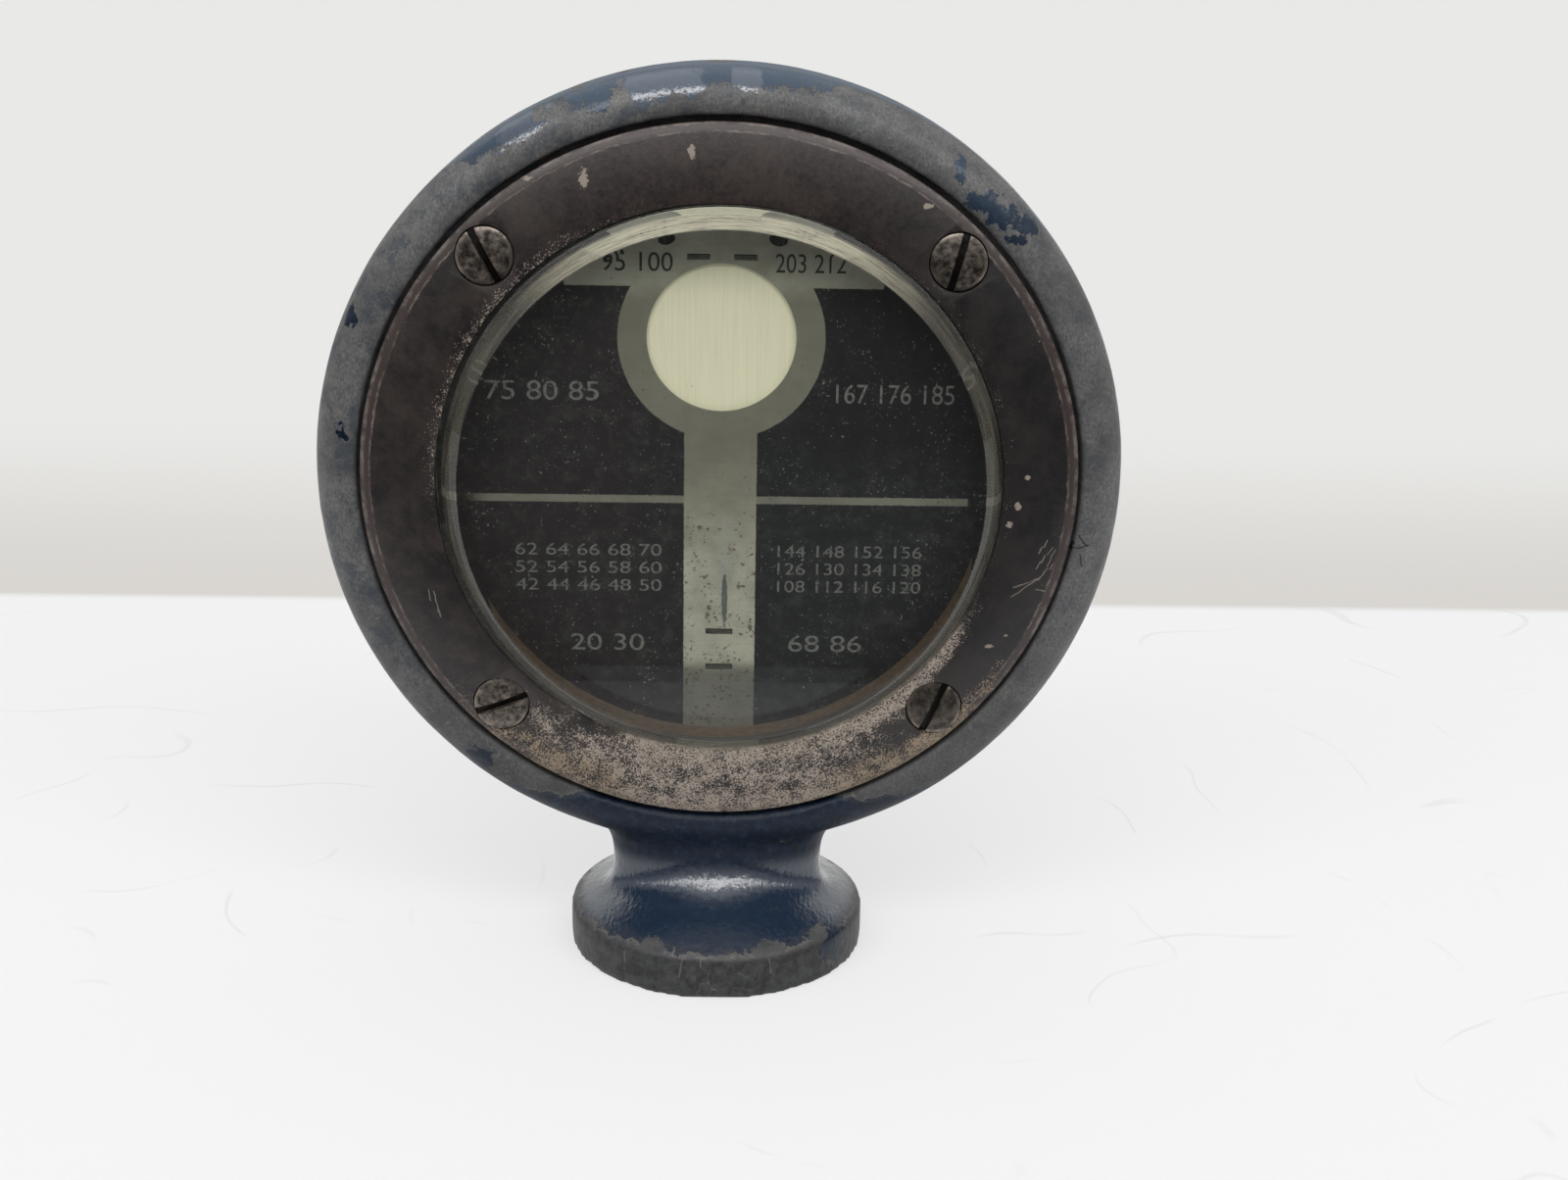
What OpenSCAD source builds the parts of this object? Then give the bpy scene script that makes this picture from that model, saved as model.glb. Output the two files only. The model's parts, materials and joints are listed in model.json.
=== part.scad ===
// Radiator cap thermometer: a round glazed case on a waisted neck and a flat base.
// Millimetres, +Z up, origin at the middle of the base's underside. The front faces -Y.

/* [Case] */
// Width of the rim around the bezel's recess
rim_w = 4.95; // [3:0.05:8]
// Rounding of the rim's front corner
rim_round = 4.2; // [2:0.1:5]
// Rounding of the rim's back corner
back_round = 7; // [3:0.1:9]
// Thickness of the lip behind the rear glass
lip_t = 1.6; // [1:0.1:3]

/* [Neck and base] */
// Height of the base's upright band
band_h = 5.2; // [4:0.1:8]
// Chamfer along the band's top edge
band_chamfer = 0.45; // [0.2:0.05:1]
// Width of the shoulder beside the neck's hollow
shoulder_w = 1.9; // [1:0.1:6]
// Slope of the base's shoulder at the band, in degrees
shoulder_slope = 24; // [15:1:35]
// Half width of the neck at its waist
neck_half_w = 12.6; // [10:0.1:16]
// Half depth of the neck at its waist
neck_waist_d = 5.6; // [5.2:0.1:6.4]
// Radius of the hollow between neck and shoulder, at the sides
neck_foot_r = 3; // [2:0.1:5]
// Width of the hollow in front and at the back, as a share of its radius at the sides
neck_front_wide = 1.35; // [1:0.05:2]
// Height of the hollow in front and at the back, as a share of its radius at the sides
neck_front_high = 1.65; // [1:0.05:1.8]
// How straight the hollow runs down in front and at the back: 1 is an arc, 2 a straight slope
neck_front_flat = 1.5; // [1:0.1:1.8]
// Height of the neck's straight waist
waist_h = 0.56; // [0.3:0.02:3]
// Height from the waist to the lowest point of the rim
neck_spread_h = 1.85; // [1:0.05:4]
// How far the neck's surface runs into the rim and the shoulder where it meets them
neck_sink = 0.1; // [0.05:0.05:0.4]
// Radius of the threaded hole in the base
thread_r = 7.25; // [5.5:0.05:7.6]
// Depth of the threaded hole
thread_depth = 8; // [5:0.1:8.4]

/* [Bezel and screws] */
// Rise of the bezel's face from its outer edge to its inner edge
bezel_rise = 1.8; // [1.2:0.05:2.5]
// Thickness of the lip that holds the glass
bezel_lip_t = 1; // [0.6:0.05:2]
// How far the bezel's outer edge lies below the rim's front face
bezel_sink = 0.2; // [0.1:0.05:0.8]
// Width of the bevel around the bezel's outer edge
bezel_bevel_w = 0.9; // [0.5:0.05:1.5]
// Rise of that bevel
bezel_bevel_h = 0.5; // [0.3:0.05:0.9]
// Gap between bezel and rim
bezel_gap = 0.7; // [0.4:0.05:1.2]
// Width of bezel left inside the pocket of a screw
pocket_inner_w = 1.13; // [0.8:0.01:3]
// Width of bezel left outside the pocket of a screw
pocket_outer_w = 0.38; // [0.3:0.01:2]
// Thickness of the bezel under a screw's head
pocket_floor_t = 1.25; // [0.8:0.05:2]
// Angle of the two upper screws from the top, in degrees
screw_upper_a = 45.3; // [35:0.1:60]
// Angle of the two lower screws from the top, in degrees
screw_lower_a = 136.5; // [120:0.1:145]
// Radius of a screw's head
screw_head_r = 3.12; // [2.6:0.02:4]
// Height of the head's upright side
screw_head_h = 1.6; // [1.2:0.05:2]
// Rise of the head's domed top
screw_crown = 0.55; // [0.3:0.05:0.8]
// How far the edge of the head's dome lies below the bezel's face
screw_sink = 0.15; // [0:0.05:0.4]
// Radius of a screw's shank
screw_r = 1.7; // [1.2:0.05:2]
// Length of the shank
screw_l = 8; // [5:0.1:10]
// Width of the screwdriver slot
slot_w = 0.85; // [0.5:0.05:1.2]
// Depth of the screwdriver slot
slot_d = 1.1; // [0.7:0.05:1.5]
// Turns of the four screwdriver slots at rest, in degrees
slot_turns = [118, 75, 20, 66]; // [0:1:180]

/* [Glass] */
// Radius of the front glass where it passes through the bezel
glass_edge_r = 31; // [28:0.1:36]
// Width of the lower facet of its bevel
lower_facet_w = 0.6; // [0.3:0.05:1.2]
// Height of the lower facet
lower_facet_h = 1.3; // [0.8:0.05:2]
// Width of the upper facet of its bevel
upper_facet_w = 1.4; // [0.8:0.05:3]
// Height of the upper facet
upper_facet_h = 1.7; // [1:0.05:2.5]
// Width of the flange by which the bezel holds the glass
glass_flange_w = 0.8; // [0.7:0.05:1.5]
// Thickness of that flange
glass_flange_t = 1.6; // [1:0.1:2.5]
// Thickness of the rear glass
rear_glass_t = 2.5; // [1.5:0.1:4]
// Thickness of the front gasket
front_gasket_t = 0.8; // [0.4:0.1:1.5]
// Thickness of the rear gasket
rear_gasket_t = 0.8; // [0.4:0.1:1.5]
// Height of the front spacer
front_spacer_h = 3.25; // [2:0.05:5]
// Height of the rear spacer
rear_spacer_h = 2.45; // [1.5:0.05:5]
// Width of the gaskets, the spacers and the rear lip
spacer_w = 1.6; // [1.2:0.05:2.5]

/* [Dial] */
// Thickness of a dial plate
dial_t = 0.4; // [0.3:0.05:0.8]
// Radius of the window in the front dial
window_r = 8.3; // [6:0.1:9.5]
// Distance from the window's top to the spacers
window_drop = 6.1; // [5.5:0.1:8]
// Gap between the window disc and the thermometer tube behind it
disc_gap = 0.1; // [0.05:0.05:0.2]
// Distance of the two dial rivets from the dial's centre line
rivet_side = 6.2; // [5:0.1:9]
// Distance of a rivet's axis from the spacers
rivet_inset = 2.2; // [1.8:0.1:2.6]
// Radius of a rivet's shank
rivet_r = 0.7; // [0.5:0.05:0.8]
// Width of a rivet's head beyond its shank
rivet_head_w = 0.5; // [0.3:0.05:0.7]
// Height of a rivet's head
rivet_head_h = 0.35; // [0.2:0.05:0.6]
// Wall of the sleeve on a rivet
sleeve_t = 0.65; // [0.4:0.05:0.8]

/* [Thermometer tube] */
// Radius of the tube's stem
tube_r = 1; // [0.8:0.05:1.3]
// Radius of the tube's bore
tube_bore_r = 0.45; // [0.3:0.05:0.6]
// Thickness of glass over the end of the bore
tube_tip_t = 1.4; // [1:0.1:2]
// Length of tube above the upper clip
tube_tip_over = 1.2; // [0.8:0.1:2]
// Radius of the bulb
bulb_r = 2.8; // [2:0.1:3.2]
// Thickness of the bulb's wall
bulb_wall = 0.5; // [0.4:0.05:0.8]
// Gap around the bulb, and between it and the threaded hole
bulb_gap = 1.2; // [0.8:0.1:1.6]
// Length of the packing bush
bush_l = 5.2; // [4:0.1:6]
// Distance from the bush's top to the case's bore
bush_drop = 2.1; // [1:0.1:3]
// Gap between bulb and bush
bulb_bush_gap = 0.8; // [0.5:0.1:1.2]
// Travel of the spirit column
column_travel = 16.5; // [10:0.1:18]
// Bore left above the spirit column at full travel
column_spare = 1.8; // [1:0.1:3]
// Height of the column's foot above the bulb
column_foot = 0.6; // [0.3:0.1:2]
// Thickness of the tube clips
clip_t = 0.35; // [0.25:0.05:0.6]
// Height of the tube clips
clip_h = 0.45; // [0.3:0.05:0.6]
// Depth of the first lower clip below the dial's axis
lower_clip_down = 18.4; // [15:0.1:21]
// Step from the first lower clip to the second
lower_clip_step = 4.3; // [3:0.1:6]
// Width of the lower slots in the front dial
lower_slot_w = 3.1; // [2.8:0.05:4]
// Height of the upper clip above the window's top
upper_clip_gap = 0.7; // [0.6:0.05:1.2]
// Width of each of the two upper slots
upper_slot_w = 2.6; // [2:0.05:3]
// Distance of the middle of an upper slot from the dial's centre line
upper_slot_side = 2.6; // [2.4:0.05:3.4]

/* [Clearances] */
// Gap around glasses, dials, gaskets and spacers in the bore
bore_gap = 0.3; // [0.2:0.05:0.4]
// Running clearance of the screws, the spirit column and the rivets
fit = 0.05; // [0.02:0.01:0.08]
// Gap around a screw's head in its pocket
pocket_gap = 0.3; // [0.2:0.05:0.5]
// Gap around a clip's tongue in its slot
slot_gap = 0.1; // [0.05:0.05:0.15]
// Gap between a clip's collar and the dial plates
clip_gap = 0.05; // [0.02:0.01:0.3]

/* [Hidden] */
$fn = 96;
// Overlap of a cutting shape past the face that it cuts
past = 1;

// Radii from the glass outward
disc_in_bore_r = glass_edge_r + glass_flange_w;
case_bore_r = disc_in_bore_r + bore_gap;
spacer_inner_r = disc_in_bore_r - spacer_w;
glass_ridge_r = glass_edge_r - lower_facet_w;
glass_face_r = glass_ridge_r - upper_facet_w;
// Glass lies over to the right until it meets its bore
glass_side = bore_gap - fit;
bezel_inner_r = glass_edge_r + glass_side + 2 * fit;
pocket_r = screw_head_r + pocket_gap;
screw_circle_r = bezel_inner_r + pocket_inner_w + pocket_r;
bezel_r = screw_circle_r + pocket_r + pocket_outer_w;
recess_r = bezel_r + bezel_gap;
case_r = recess_r + rim_w;

// Levels along the dial's axis, counted forward from the case's middle plane
clip_r = tube_r + fit;
dial_back = clip_r + clip_t + clip_gap;
dial_front = dial_back + dial_t;
front_spacer_end = dial_front + front_spacer_h;
flange_back = front_spacer_end + front_gasket_t;
flange_front = flange_back + glass_flange_t;
bezel_face_z = flange_front + bezel_lip_t;
glass_ridge_z = bezel_face_z + lower_facet_h;
glass_face_z = glass_ridge_z + upper_facet_h;
bezel_edge_z = bezel_face_z - bezel_rise;
rim_front = bezel_edge_z + bezel_sink;
rear_glass_front = -dial_front - rear_spacer_h;
rear_glass_back = rear_glass_front - rear_glass_t;
lip_z = rear_glass_back - rear_gasket_t;
rim_back = lip_t - lip_z;

// Bezel's cone, between the end of its bevel and its inner edge
cone_r = bezel_r - bezel_bevel_w;
cone_z = bezel_edge_z + bezel_bevel_h;
function bezel_face(r) = cone_z + (bezel_face_z - cone_z) * (cone_r - r) / (cone_r - bezel_inner_r);
screw_angles = [-screw_upper_a, screw_upper_a, -screw_lower_a, screw_lower_a];
screw_hole_r = screw_r + fit;
screw_top_z = bezel_face(screw_circle_r) - screw_sink;
screw_seat_z = screw_top_z - screw_head_h;
seat_z = screw_seat_z - pocket_floor_t;

// Base's shoulder is a shallow spherical cap
base_r = neck_half_w + neck_foot_r + shoulder_w;
shoulder_r = base_r - band_chamfer;
cap_r = shoulder_r / sin(shoulder_slope);
cap_z = band_h - cap_r * cos(shoulder_slope);
function shoulder_z(r) = cap_z + sqrt(cap_r * cap_r - r * r);

// Neck spreads along an arc into the rim's circle, where it is nearly as deep as the rim's front half
neck_half_d = rim_front - neck_sink;
neck_spread_z = shoulder_z(neck_half_d + neck_foot_r) + neck_foot_r + waist_h;
case_h = neck_spread_z + neck_spread_h + case_r;
spread_drop = case_h - neck_spread_z;
spread_end_r = case_r - neck_sink;
spread_r = (pow(neck_half_w, 2) + pow(spread_drop, 2) - pow(spread_end_r, 2))
    / (2 * (spread_end_r - neck_half_w));
spread_a = atan2(spread_drop, neck_half_w + spread_r);
spread_half_w = neck_half_w + spread_r * (1 - cos(spread_a));
neck_sides = 56;
neck_foot_steps = 8;
neck_spread_steps = 7;
// How far the neck's ends lie inside the base and the rim
neck_inset = 0.5;

// Features of the dial, from its axis up
window_up = spacer_inner_r - window_drop - window_r;
rivet_hole_r = rivet_r + fit;
rivet_head_r = rivet_r + rivet_head_w;
rivet_up = sqrt(pow(spacer_inner_r - rivet_inset, 2) - pow(rivet_side, 2));
upper_clip_up = window_up + window_r + upper_clip_gap;
// Window disc reaches up to just below the upper clip
disc_r = upper_clip_up - clip_h / 2 - slot_gap - window_up;
disc_t = dial_back - tube_r - disc_gap;
tongue_half_w = lower_slot_w / 2 - slot_gap;
// Level at which a clip's tongue leaves its collar
tongue_root = tube_r / 2;

// Thermometer tube, along +Z in the case's middle plane
neck_bore_r = bulb_r + bulb_gap;
tube_z = thread_depth + bulb_gap;
bush_z = case_h - case_bore_r - bush_drop - bush_l;
bulb_top = bush_z - bulb_bush_gap;
bulb_hollow_r = bulb_r - bulb_wall;
tube_tip_z = case_h + upper_clip_up + clip_h / 2 + tube_tip_over;
tube_bore_top = tube_tip_z - tube_tip_t;
column_r = tube_bore_r - fit;
column_z = bulb_top + column_foot;
column_rest_z = tube_bore_top - column_spare - column_travel;

// Places what follows on the dial's axis, with its own +Z forward and its own +Y up
module on_dial() {
    translate([0, 0, case_h]) rotate([90, 0, 0]) children();
}

// Flat ring on the dial's axis between two levels
module dial_ring(r_out, r_in, from, to) {
    on_dial() translate([0, 0, from]) difference() {
        cylinder(r = r_out, h = to - from);
        translate([0, 0, -past]) cylinder(r = r_in, h = to - from + 2 * past);
    }
}

// Cut along the dial's axis, from one level to another
module dial_bore(r, from, to) {
    on_dial() translate([0, 0, from]) cylinder(r = r, h = to - from);
}

// Section of the rim, radius against level
module rim_section() {
    inner = spacer_inner_r - past;
    front_r = case_r - rim_round;
    back_r = case_r - back_round;
    translate([inner, 0]) square([front_r - inner, rim_front]);
    translate([inner, -rim_back]) square([back_r - inner, rim_back]);
    translate([inner, back_round - rim_back])
        square([case_r - inner, rim_front + rim_back - rim_round - back_round]);
    translate([front_r, rim_front - rim_round]) circle(rim_round);
    translate([back_r, back_round - rim_back]) circle(back_round);
}

module rim() {
    on_dial() rotate_extrude() rim_section();
}

// Round base: an upright band, a chamfer and a shallow domed shoulder
module base() {
    intersection() {
        translate([0, 0, cap_z]) sphere(cap_r);
        union() {
            cylinder(r = base_r, h = band_h - band_chamfer);
            translate([0, 0, band_h - band_chamfer]) cylinder(r1 = base_r, r2 = 0, h = base_r);
        }
    }
}

// Rings of the neck: ovals, which rise out of the shoulder along the hollow and spread into the rim
function neck_oval(a, half_w, half_d) =
    half_w * half_d / sqrt(pow(half_d * cos(a), 2) + pow(half_w * sin(a), 2));
function neck_point(a, half_w, half_d, grow, z) =
    let (r = neck_oval(a, half_w, half_d) + grow)
    [r * cos(a), r * sin(a), z];
function front_share(a) = pow(sin(a), 2);
function foot_w(a) = neck_foot_r * (1 + (neck_front_wide - 1) * front_share(a));
function foot_h(a) = neck_foot_r * (1 + (neck_front_high - 1) * front_share(a));
function foot_base_z(a) = shoulder_z(neck_oval(a, neck_half_w, neck_waist_d) + foot_w(a)) - neck_sink;
function foot_ring(t) = [for (i = [0 : neck_sides - 1])
    let (a = 360 * i / neck_sides, flat = 1 + (neck_front_flat - 1) * front_share(a),
        grow = foot_w(a) * (1 - pow(sin(t), flat)), rise = foot_h(a) * (1 - pow(cos(t), flat)))
    neck_point(a, neck_half_w, neck_waist_d, grow, foot_base_z(a) + rise)];
// The waist lies higher in front, above the higher hollow
front_lift = max(0, foot_base_z(90) + foot_h(90) + 2 * neck_sink - neck_spread_z);
function flat_ring(half_w, half_d, z) = [for (i = [0 : neck_sides - 1])
    neck_point(360 * i / neck_sides, half_w, half_d, 0, z)];
function spread_ring(t) = [for (i = [0 : neck_sides - 1])
    let (a = 360 * i / neck_sides, deep = (1 - cos(t)) / (1 - cos(spread_a)), left = 1 - sin(t) / sin(spread_a))
    neck_point(a, neck_half_w + spread_r * (1 - cos(t)), neck_waist_d + (neck_half_d - neck_waist_d) * deep, 0,
        neck_spread_z + spread_r * sin(t) + front_lift * front_share(a) * left)];

neck_rings = concat(
    [flat_ring(neck_half_w - neck_inset, neck_waist_d - neck_inset, band_h - neck_inset)],
    [for (k = [0 : neck_foot_steps]) foot_ring(90 * k / neck_foot_steps)],
    [for (k = [0 : neck_spread_steps]) spread_ring(spread_a * k / neck_spread_steps)],
    [flat_ring(spread_half_w, neck_half_d - neck_inset, case_h - recess_r - neck_inset)]);

module neck() {
    levels = len(neck_rings);
    sides = [for (k = [0 : levels - 2], i = [0 : neck_sides - 1], half = [0, 1])
        let (j = (i + 1) % neck_sides, low = k * neck_sides, high = low + neck_sides)
        half == 0 ? [low + i, high + i, high + j] : [low + i, high + j, low + j]];
    bottom = [for (i = [0 : neck_sides - 1]) i];
    top = [for (i = [neck_sides - 1 : -1 : 0]) (levels - 1) * neck_sides + i];
    polyhedron([for (ring = neck_rings) each ring], concat(sides, [bottom], [top]), convexity = 6);
}

// Places what follows at one screw, with its own +Z forward
module at_screw(n) {
    on_dial() rotate([0, 0, -screw_angles[n]]) translate([0, screw_circle_r, 0]) children();
}

module case_body() {
    color("#2b3a4c") difference() {
        union() {
            rim();
            base();
            neck();
        }
        dial_bore(spacer_inner_r, -rim_back - past, rim_front + past);
        dial_bore(case_bore_r, lip_z, rim_front + past);
        dial_bore(recess_r, seat_z, rim_front + past);
        translate([0, 0, -past]) cylinder(r = thread_r, h = thread_depth + past);
        cylinder(r = neck_bore_r, h = case_h - case_bore_r + past);
        for (n = [0 : 3]) {
            at_screw(n) translate([0, 0, screw_seat_z - screw_l - past])
                cylinder(r = screw_hole_r, h = screw_l + 2 * past);
        }
    }
}

module bezel_ring() {
    color("#3a3331") difference() {
        on_dial() rotate_extrude() polygon([
            [case_bore_r, seat_z],
            [bezel_r, seat_z],
            [bezel_r, bezel_edge_z],
            [cone_r, cone_z],
            [bezel_inner_r, bezel_face_z],
            [bezel_inner_r, flange_front],
            [case_bore_r, flange_front]]);
        for (n = [0 : 3]) {
            at_screw(n) translate([0, 0, screw_seat_z])
                cylinder(r = pocket_r, h = bezel_face_z - screw_seat_z + past);
            at_screw(n) translate([0, 0, seat_z - past]) cylinder(r = screw_hole_r, h = bezel_face_z);
        }
    }
}

// Slotted cheese-head screw, its head's top a shallow dome
module bezel_screw(n) {
    dome_r = (pow(screw_head_r, 2) + pow(screw_crown, 2)) / (2 * screw_crown);
    color("#5a5148") at_screw(n) difference() {
        union() {
            translate([0, 0, screw_seat_z]) cylinder(r = screw_head_r, h = screw_head_h);
            intersection() {
                translate([0, 0, screw_top_z + screw_crown - dome_r]) sphere(dome_r);
                translate([0, 0, screw_top_z - past]) cylinder(r = screw_head_r, h = screw_crown + 2 * past);
            }
            translate([0, 0, screw_seat_z - screw_l]) cylinder(r = screw_r, h = screw_l + past);
        }
        rotate([0, 0, screw_angles[n] + slot_turns[n]])
            translate([-2 * screw_head_r, -slot_w / 2, screw_top_z + screw_crown - slot_d])
                cube([4 * screw_head_r, slot_w, slot_d + past]);
    }
}

module front_glass() {
    color("#b8c4b6") on_dial() translate([glass_side, 0, 0]) rotate_extrude() polygon([
        [0, flange_back],
        [disc_in_bore_r, flange_back],
        [disc_in_bore_r, flange_front],
        [glass_edge_r, flange_front],
        [glass_edge_r, bezel_face_z],
        [glass_ridge_r, glass_ridge_z],
        [glass_face_r, glass_face_z],
        [0, glass_face_z]]);
}

module front_gasket() {
    color("#3b3c33") dial_ring(disc_in_bore_r, spacer_inner_r, front_spacer_end, flange_back);
}

module front_spacer() {
    color("#6b4a34") dial_ring(disc_in_bore_r, spacer_inner_r, dial_front, front_spacer_end);
}

// Dial plate between two levels, with the holes of the rivets
module dial_plate(from, to) {
    difference() {
        dial_bore(disc_in_bore_r, from, to);
        for (side = [-1, 1]) {
            on_dial() translate([side * rivet_side, rivet_up, from - past])
                cylinder(r = rivet_hole_r, h = to - from + 2 * past);
        }
    }
}

// Slot through the front dial
module dial_slot(x, up, width) {
    on_dial() translate([x - width / 2, up - clip_h / 2 - slot_gap, dial_back - past])
        cube([width, clip_h + 2 * slot_gap, dial_t + 2 * past]);
}

module front_dial() {
    color("#33343a") difference() {
        dial_plate(dial_back, dial_front);
        on_dial() translate([0, window_up, dial_back - past]) cylinder(r = window_r, h = dial_t + 2 * past);
        dial_slot(0, -lower_clip_down, lower_slot_w);
        dial_slot(0, -lower_clip_down - lower_clip_step, lower_slot_w);
        for (side = [-1, 1]) {
            dial_slot(side * upper_slot_side, upper_clip_up, upper_slot_w);
        }
    }
}

module dial_spacer() {
    color("#8a8168") difference() {
        dial_ring(disc_in_bore_r, spacer_inner_r, -dial_back, dial_back);
        cylinder(r = tube_r + slot_gap, h = case_h);
    }
}

module rear_dial() {
    color("#6f6f66") difference() {
        dial_plate(-dial_front, -dial_back);
        on_dial() translate([0, window_up, -dial_front - past])
            cylinder(r = window_r, h = dial_t + 2 * past);
    }
}

// Cream disc, cemented to the back of the front dial around its window
module window_disc() {
    color("#d6d3ba") on_dial() translate([0, window_up, dial_back - disc_t]) cylinder(r = disc_r, h = disc_t);
}

module rear_spacer() {
    color("#6b4a34") dial_ring(disc_in_bore_r, spacer_inner_r, rear_glass_front, -dial_front);
}

module rear_glass() {
    color("#b8c4b6") dial_bore(disc_in_bore_r, rear_glass_back, rear_glass_front);
}

module rear_gasket() {
    color("#3b3c33") dial_ring(disc_in_bore_r, spacer_inner_r, lip_z, rear_glass_back);
}

// Rivet through both dial plates and the sleeve between them
module dial_rivet(side) {
    color("#4a4a48") on_dial() translate([side * rivet_side, rivet_up, 0]) {
        translate([0, 0, -dial_front]) cylinder(r = rivet_r, h = 2 * dial_front);
        translate([0, 0, dial_front]) cylinder(r = rivet_head_r, h = rivet_head_h);
        translate([0, 0, -dial_front - rivet_head_h]) cylinder(r = rivet_head_r, h = rivet_head_h);
    }
}

module rivet_sleeve(side) {
    color("#8a8168") on_dial() translate([side * rivet_side, rivet_up, -dial_back]) difference() {
        cylinder(r = rivet_hole_r + sleeve_t, h = 2 * dial_back);
        translate([0, 0, -past]) cylinder(r = rivet_hole_r, h = 2 * dial_back + 2 * past);
    }
}

// Bulb and stem, hollow along the axis
module thermometer_tube() {
    cap = bulb_r - tube_r;
    hollow_cap = bulb_hollow_r - tube_bore_r;
    color("#dfe6df") rotate_extrude() polygon([
        [0, tube_z],
        [bulb_hollow_r, tube_z],
        [bulb_r, tube_z + bulb_wall],
        [bulb_r, bulb_top - cap],
        [tube_r, bulb_top],
        [tube_r, tube_tip_z],
        [0, tube_tip_z],
        [0, tube_bore_top],
        [tube_bore_r, tube_bore_top],
        [tube_bore_r, bulb_top - bulb_wall],
        [bulb_hollow_r, bulb_top - bulb_wall - hollow_cap],
        [bulb_hollow_r, tube_z + bulb_wall],
        [0, tube_z + bulb_wall]]);
}

module spirit_column() {
    color("#a8202a") translate([0, 0, column_z]) cylinder(r = column_r, h = column_rest_z - column_z);
}

module spirit_reserve() {
    reserve_r = bulb_hollow_r - fit;
    color("#a8202a") rotate_extrude() polygon([
        [0, tube_z + bulb_wall],
        [reserve_r, tube_z + bulb_wall],
        [reserve_r, bulb_top - bulb_wall - reserve_r + column_r],
        [column_r, bulb_top - bulb_wall],
        [column_r, column_z],
        [0, column_z]]);
}

// Collar around the tube at a height on the dial
module clip_collar(up) {
    translate([0, 0, case_h + up - clip_h / 2]) difference() {
        cylinder(r = clip_r + clip_t, h = clip_h);
        translate([0, 0, -past]) cylinder(r = clip_r, h = clip_h + 2 * past);
    }
}

// Tongue from the collar to the front face of the dial
module clip_tongue(x, up, half_w) {
    on_dial() translate([x - half_w, up - clip_h / 2, tongue_root])
        cube([2 * half_w, clip_h, dial_front - tongue_root]);
}

module lower_clip(down) {
    color("#3a3a38") difference() {
        union() {
            clip_collar(-down);
            clip_tongue(0, -down, tongue_half_w);
        }
        cylinder(r = clip_r, h = 2 * case_h);
    }
}

module upper_clip() {
    half_w = upper_slot_w / 2 - slot_gap;
    bar = upper_slot_side + half_w;
    color("#3a3a38") difference() {
        union() {
            clip_collar(upper_clip_up);
            on_dial() translate([-bar, upper_clip_up - clip_h / 2, tongue_root])
                cube([2 * bar, clip_h, dial_back - tongue_root - slot_gap]);
            for (side = [-1, 1]) {
                clip_tongue(side * upper_slot_side, upper_clip_up, half_w);
            }
        }
        cylinder(r = clip_r, h = 2 * case_h);
    }
}

module packing_bush() {
    color("#7a6448") translate([0, 0, bush_z]) difference() {
        cylinder(r = neck_bore_r - fit, h = bush_l);
        translate([0, 0, -past]) cylinder(r = tube_r + fit, h = bush_l + 2 * past);
    }
}

case_body();
bezel_ring();
bezel_screw(0);  // bezel_screw_1
bezel_screw(1);  // bezel_screw_2
bezel_screw(2);  // bezel_screw_3
bezel_screw(3);  // bezel_screw_4
front_glass();
front_gasket();
front_spacer();
front_dial();
dial_spacer();
rear_dial();
window_disc();
rear_spacer();
rear_glass();
rear_gasket();
dial_rivet(-1);  // dial_rivet_left
dial_rivet(1);  // dial_rivet_right
rivet_sleeve(-1);  // rivet_sleeve_left
rivet_sleeve(1);  // rivet_sleeve_right
thermometer_tube();
spirit_column();
spirit_reserve();
upper_clip();
lower_clip(lower_clip_down);  // lower_clip_1
lower_clip(lower_clip_down + lower_clip_step);  // lower_clip_2
packing_bush();
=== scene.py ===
import json
import math
import bmesh
import bpy
from mathutils import Matrix, Vector


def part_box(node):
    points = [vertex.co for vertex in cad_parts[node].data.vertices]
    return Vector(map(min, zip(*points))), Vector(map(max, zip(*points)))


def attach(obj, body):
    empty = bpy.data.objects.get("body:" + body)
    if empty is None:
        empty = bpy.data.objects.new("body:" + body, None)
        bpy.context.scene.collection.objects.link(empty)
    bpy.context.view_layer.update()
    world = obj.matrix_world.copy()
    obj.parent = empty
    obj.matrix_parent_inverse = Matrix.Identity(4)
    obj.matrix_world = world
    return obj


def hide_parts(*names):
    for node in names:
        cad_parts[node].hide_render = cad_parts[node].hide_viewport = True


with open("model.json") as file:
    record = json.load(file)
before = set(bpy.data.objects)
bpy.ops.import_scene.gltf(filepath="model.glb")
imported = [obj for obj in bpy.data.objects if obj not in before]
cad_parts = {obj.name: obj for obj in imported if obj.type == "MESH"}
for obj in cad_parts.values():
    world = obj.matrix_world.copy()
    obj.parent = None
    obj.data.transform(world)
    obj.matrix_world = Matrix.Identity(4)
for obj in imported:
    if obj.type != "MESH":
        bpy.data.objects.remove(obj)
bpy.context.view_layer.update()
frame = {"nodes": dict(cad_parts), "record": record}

scene = bpy.context.scene
scene.view_settings.view_transform = "Standard"
nodes = frame["nodes"]
mm = 0.001

# the dial's axis runs along Y through the middle of the bezel
bezelLow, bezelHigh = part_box("bezel_ring")
dialZ = (bezelLow.z + bezelHigh.z) / 2


def clearAll():
    if bpy.context.object and bpy.context.object.mode != "OBJECT":
        bpy.ops.object.mode_set(mode="OBJECT")
    bpy.ops.object.select_all(action="DESELECT")


def hold(piece):
    clearAll()
    piece.select_set(True)
    bpy.context.view_layer.objects.active = piece
    return piece


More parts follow.
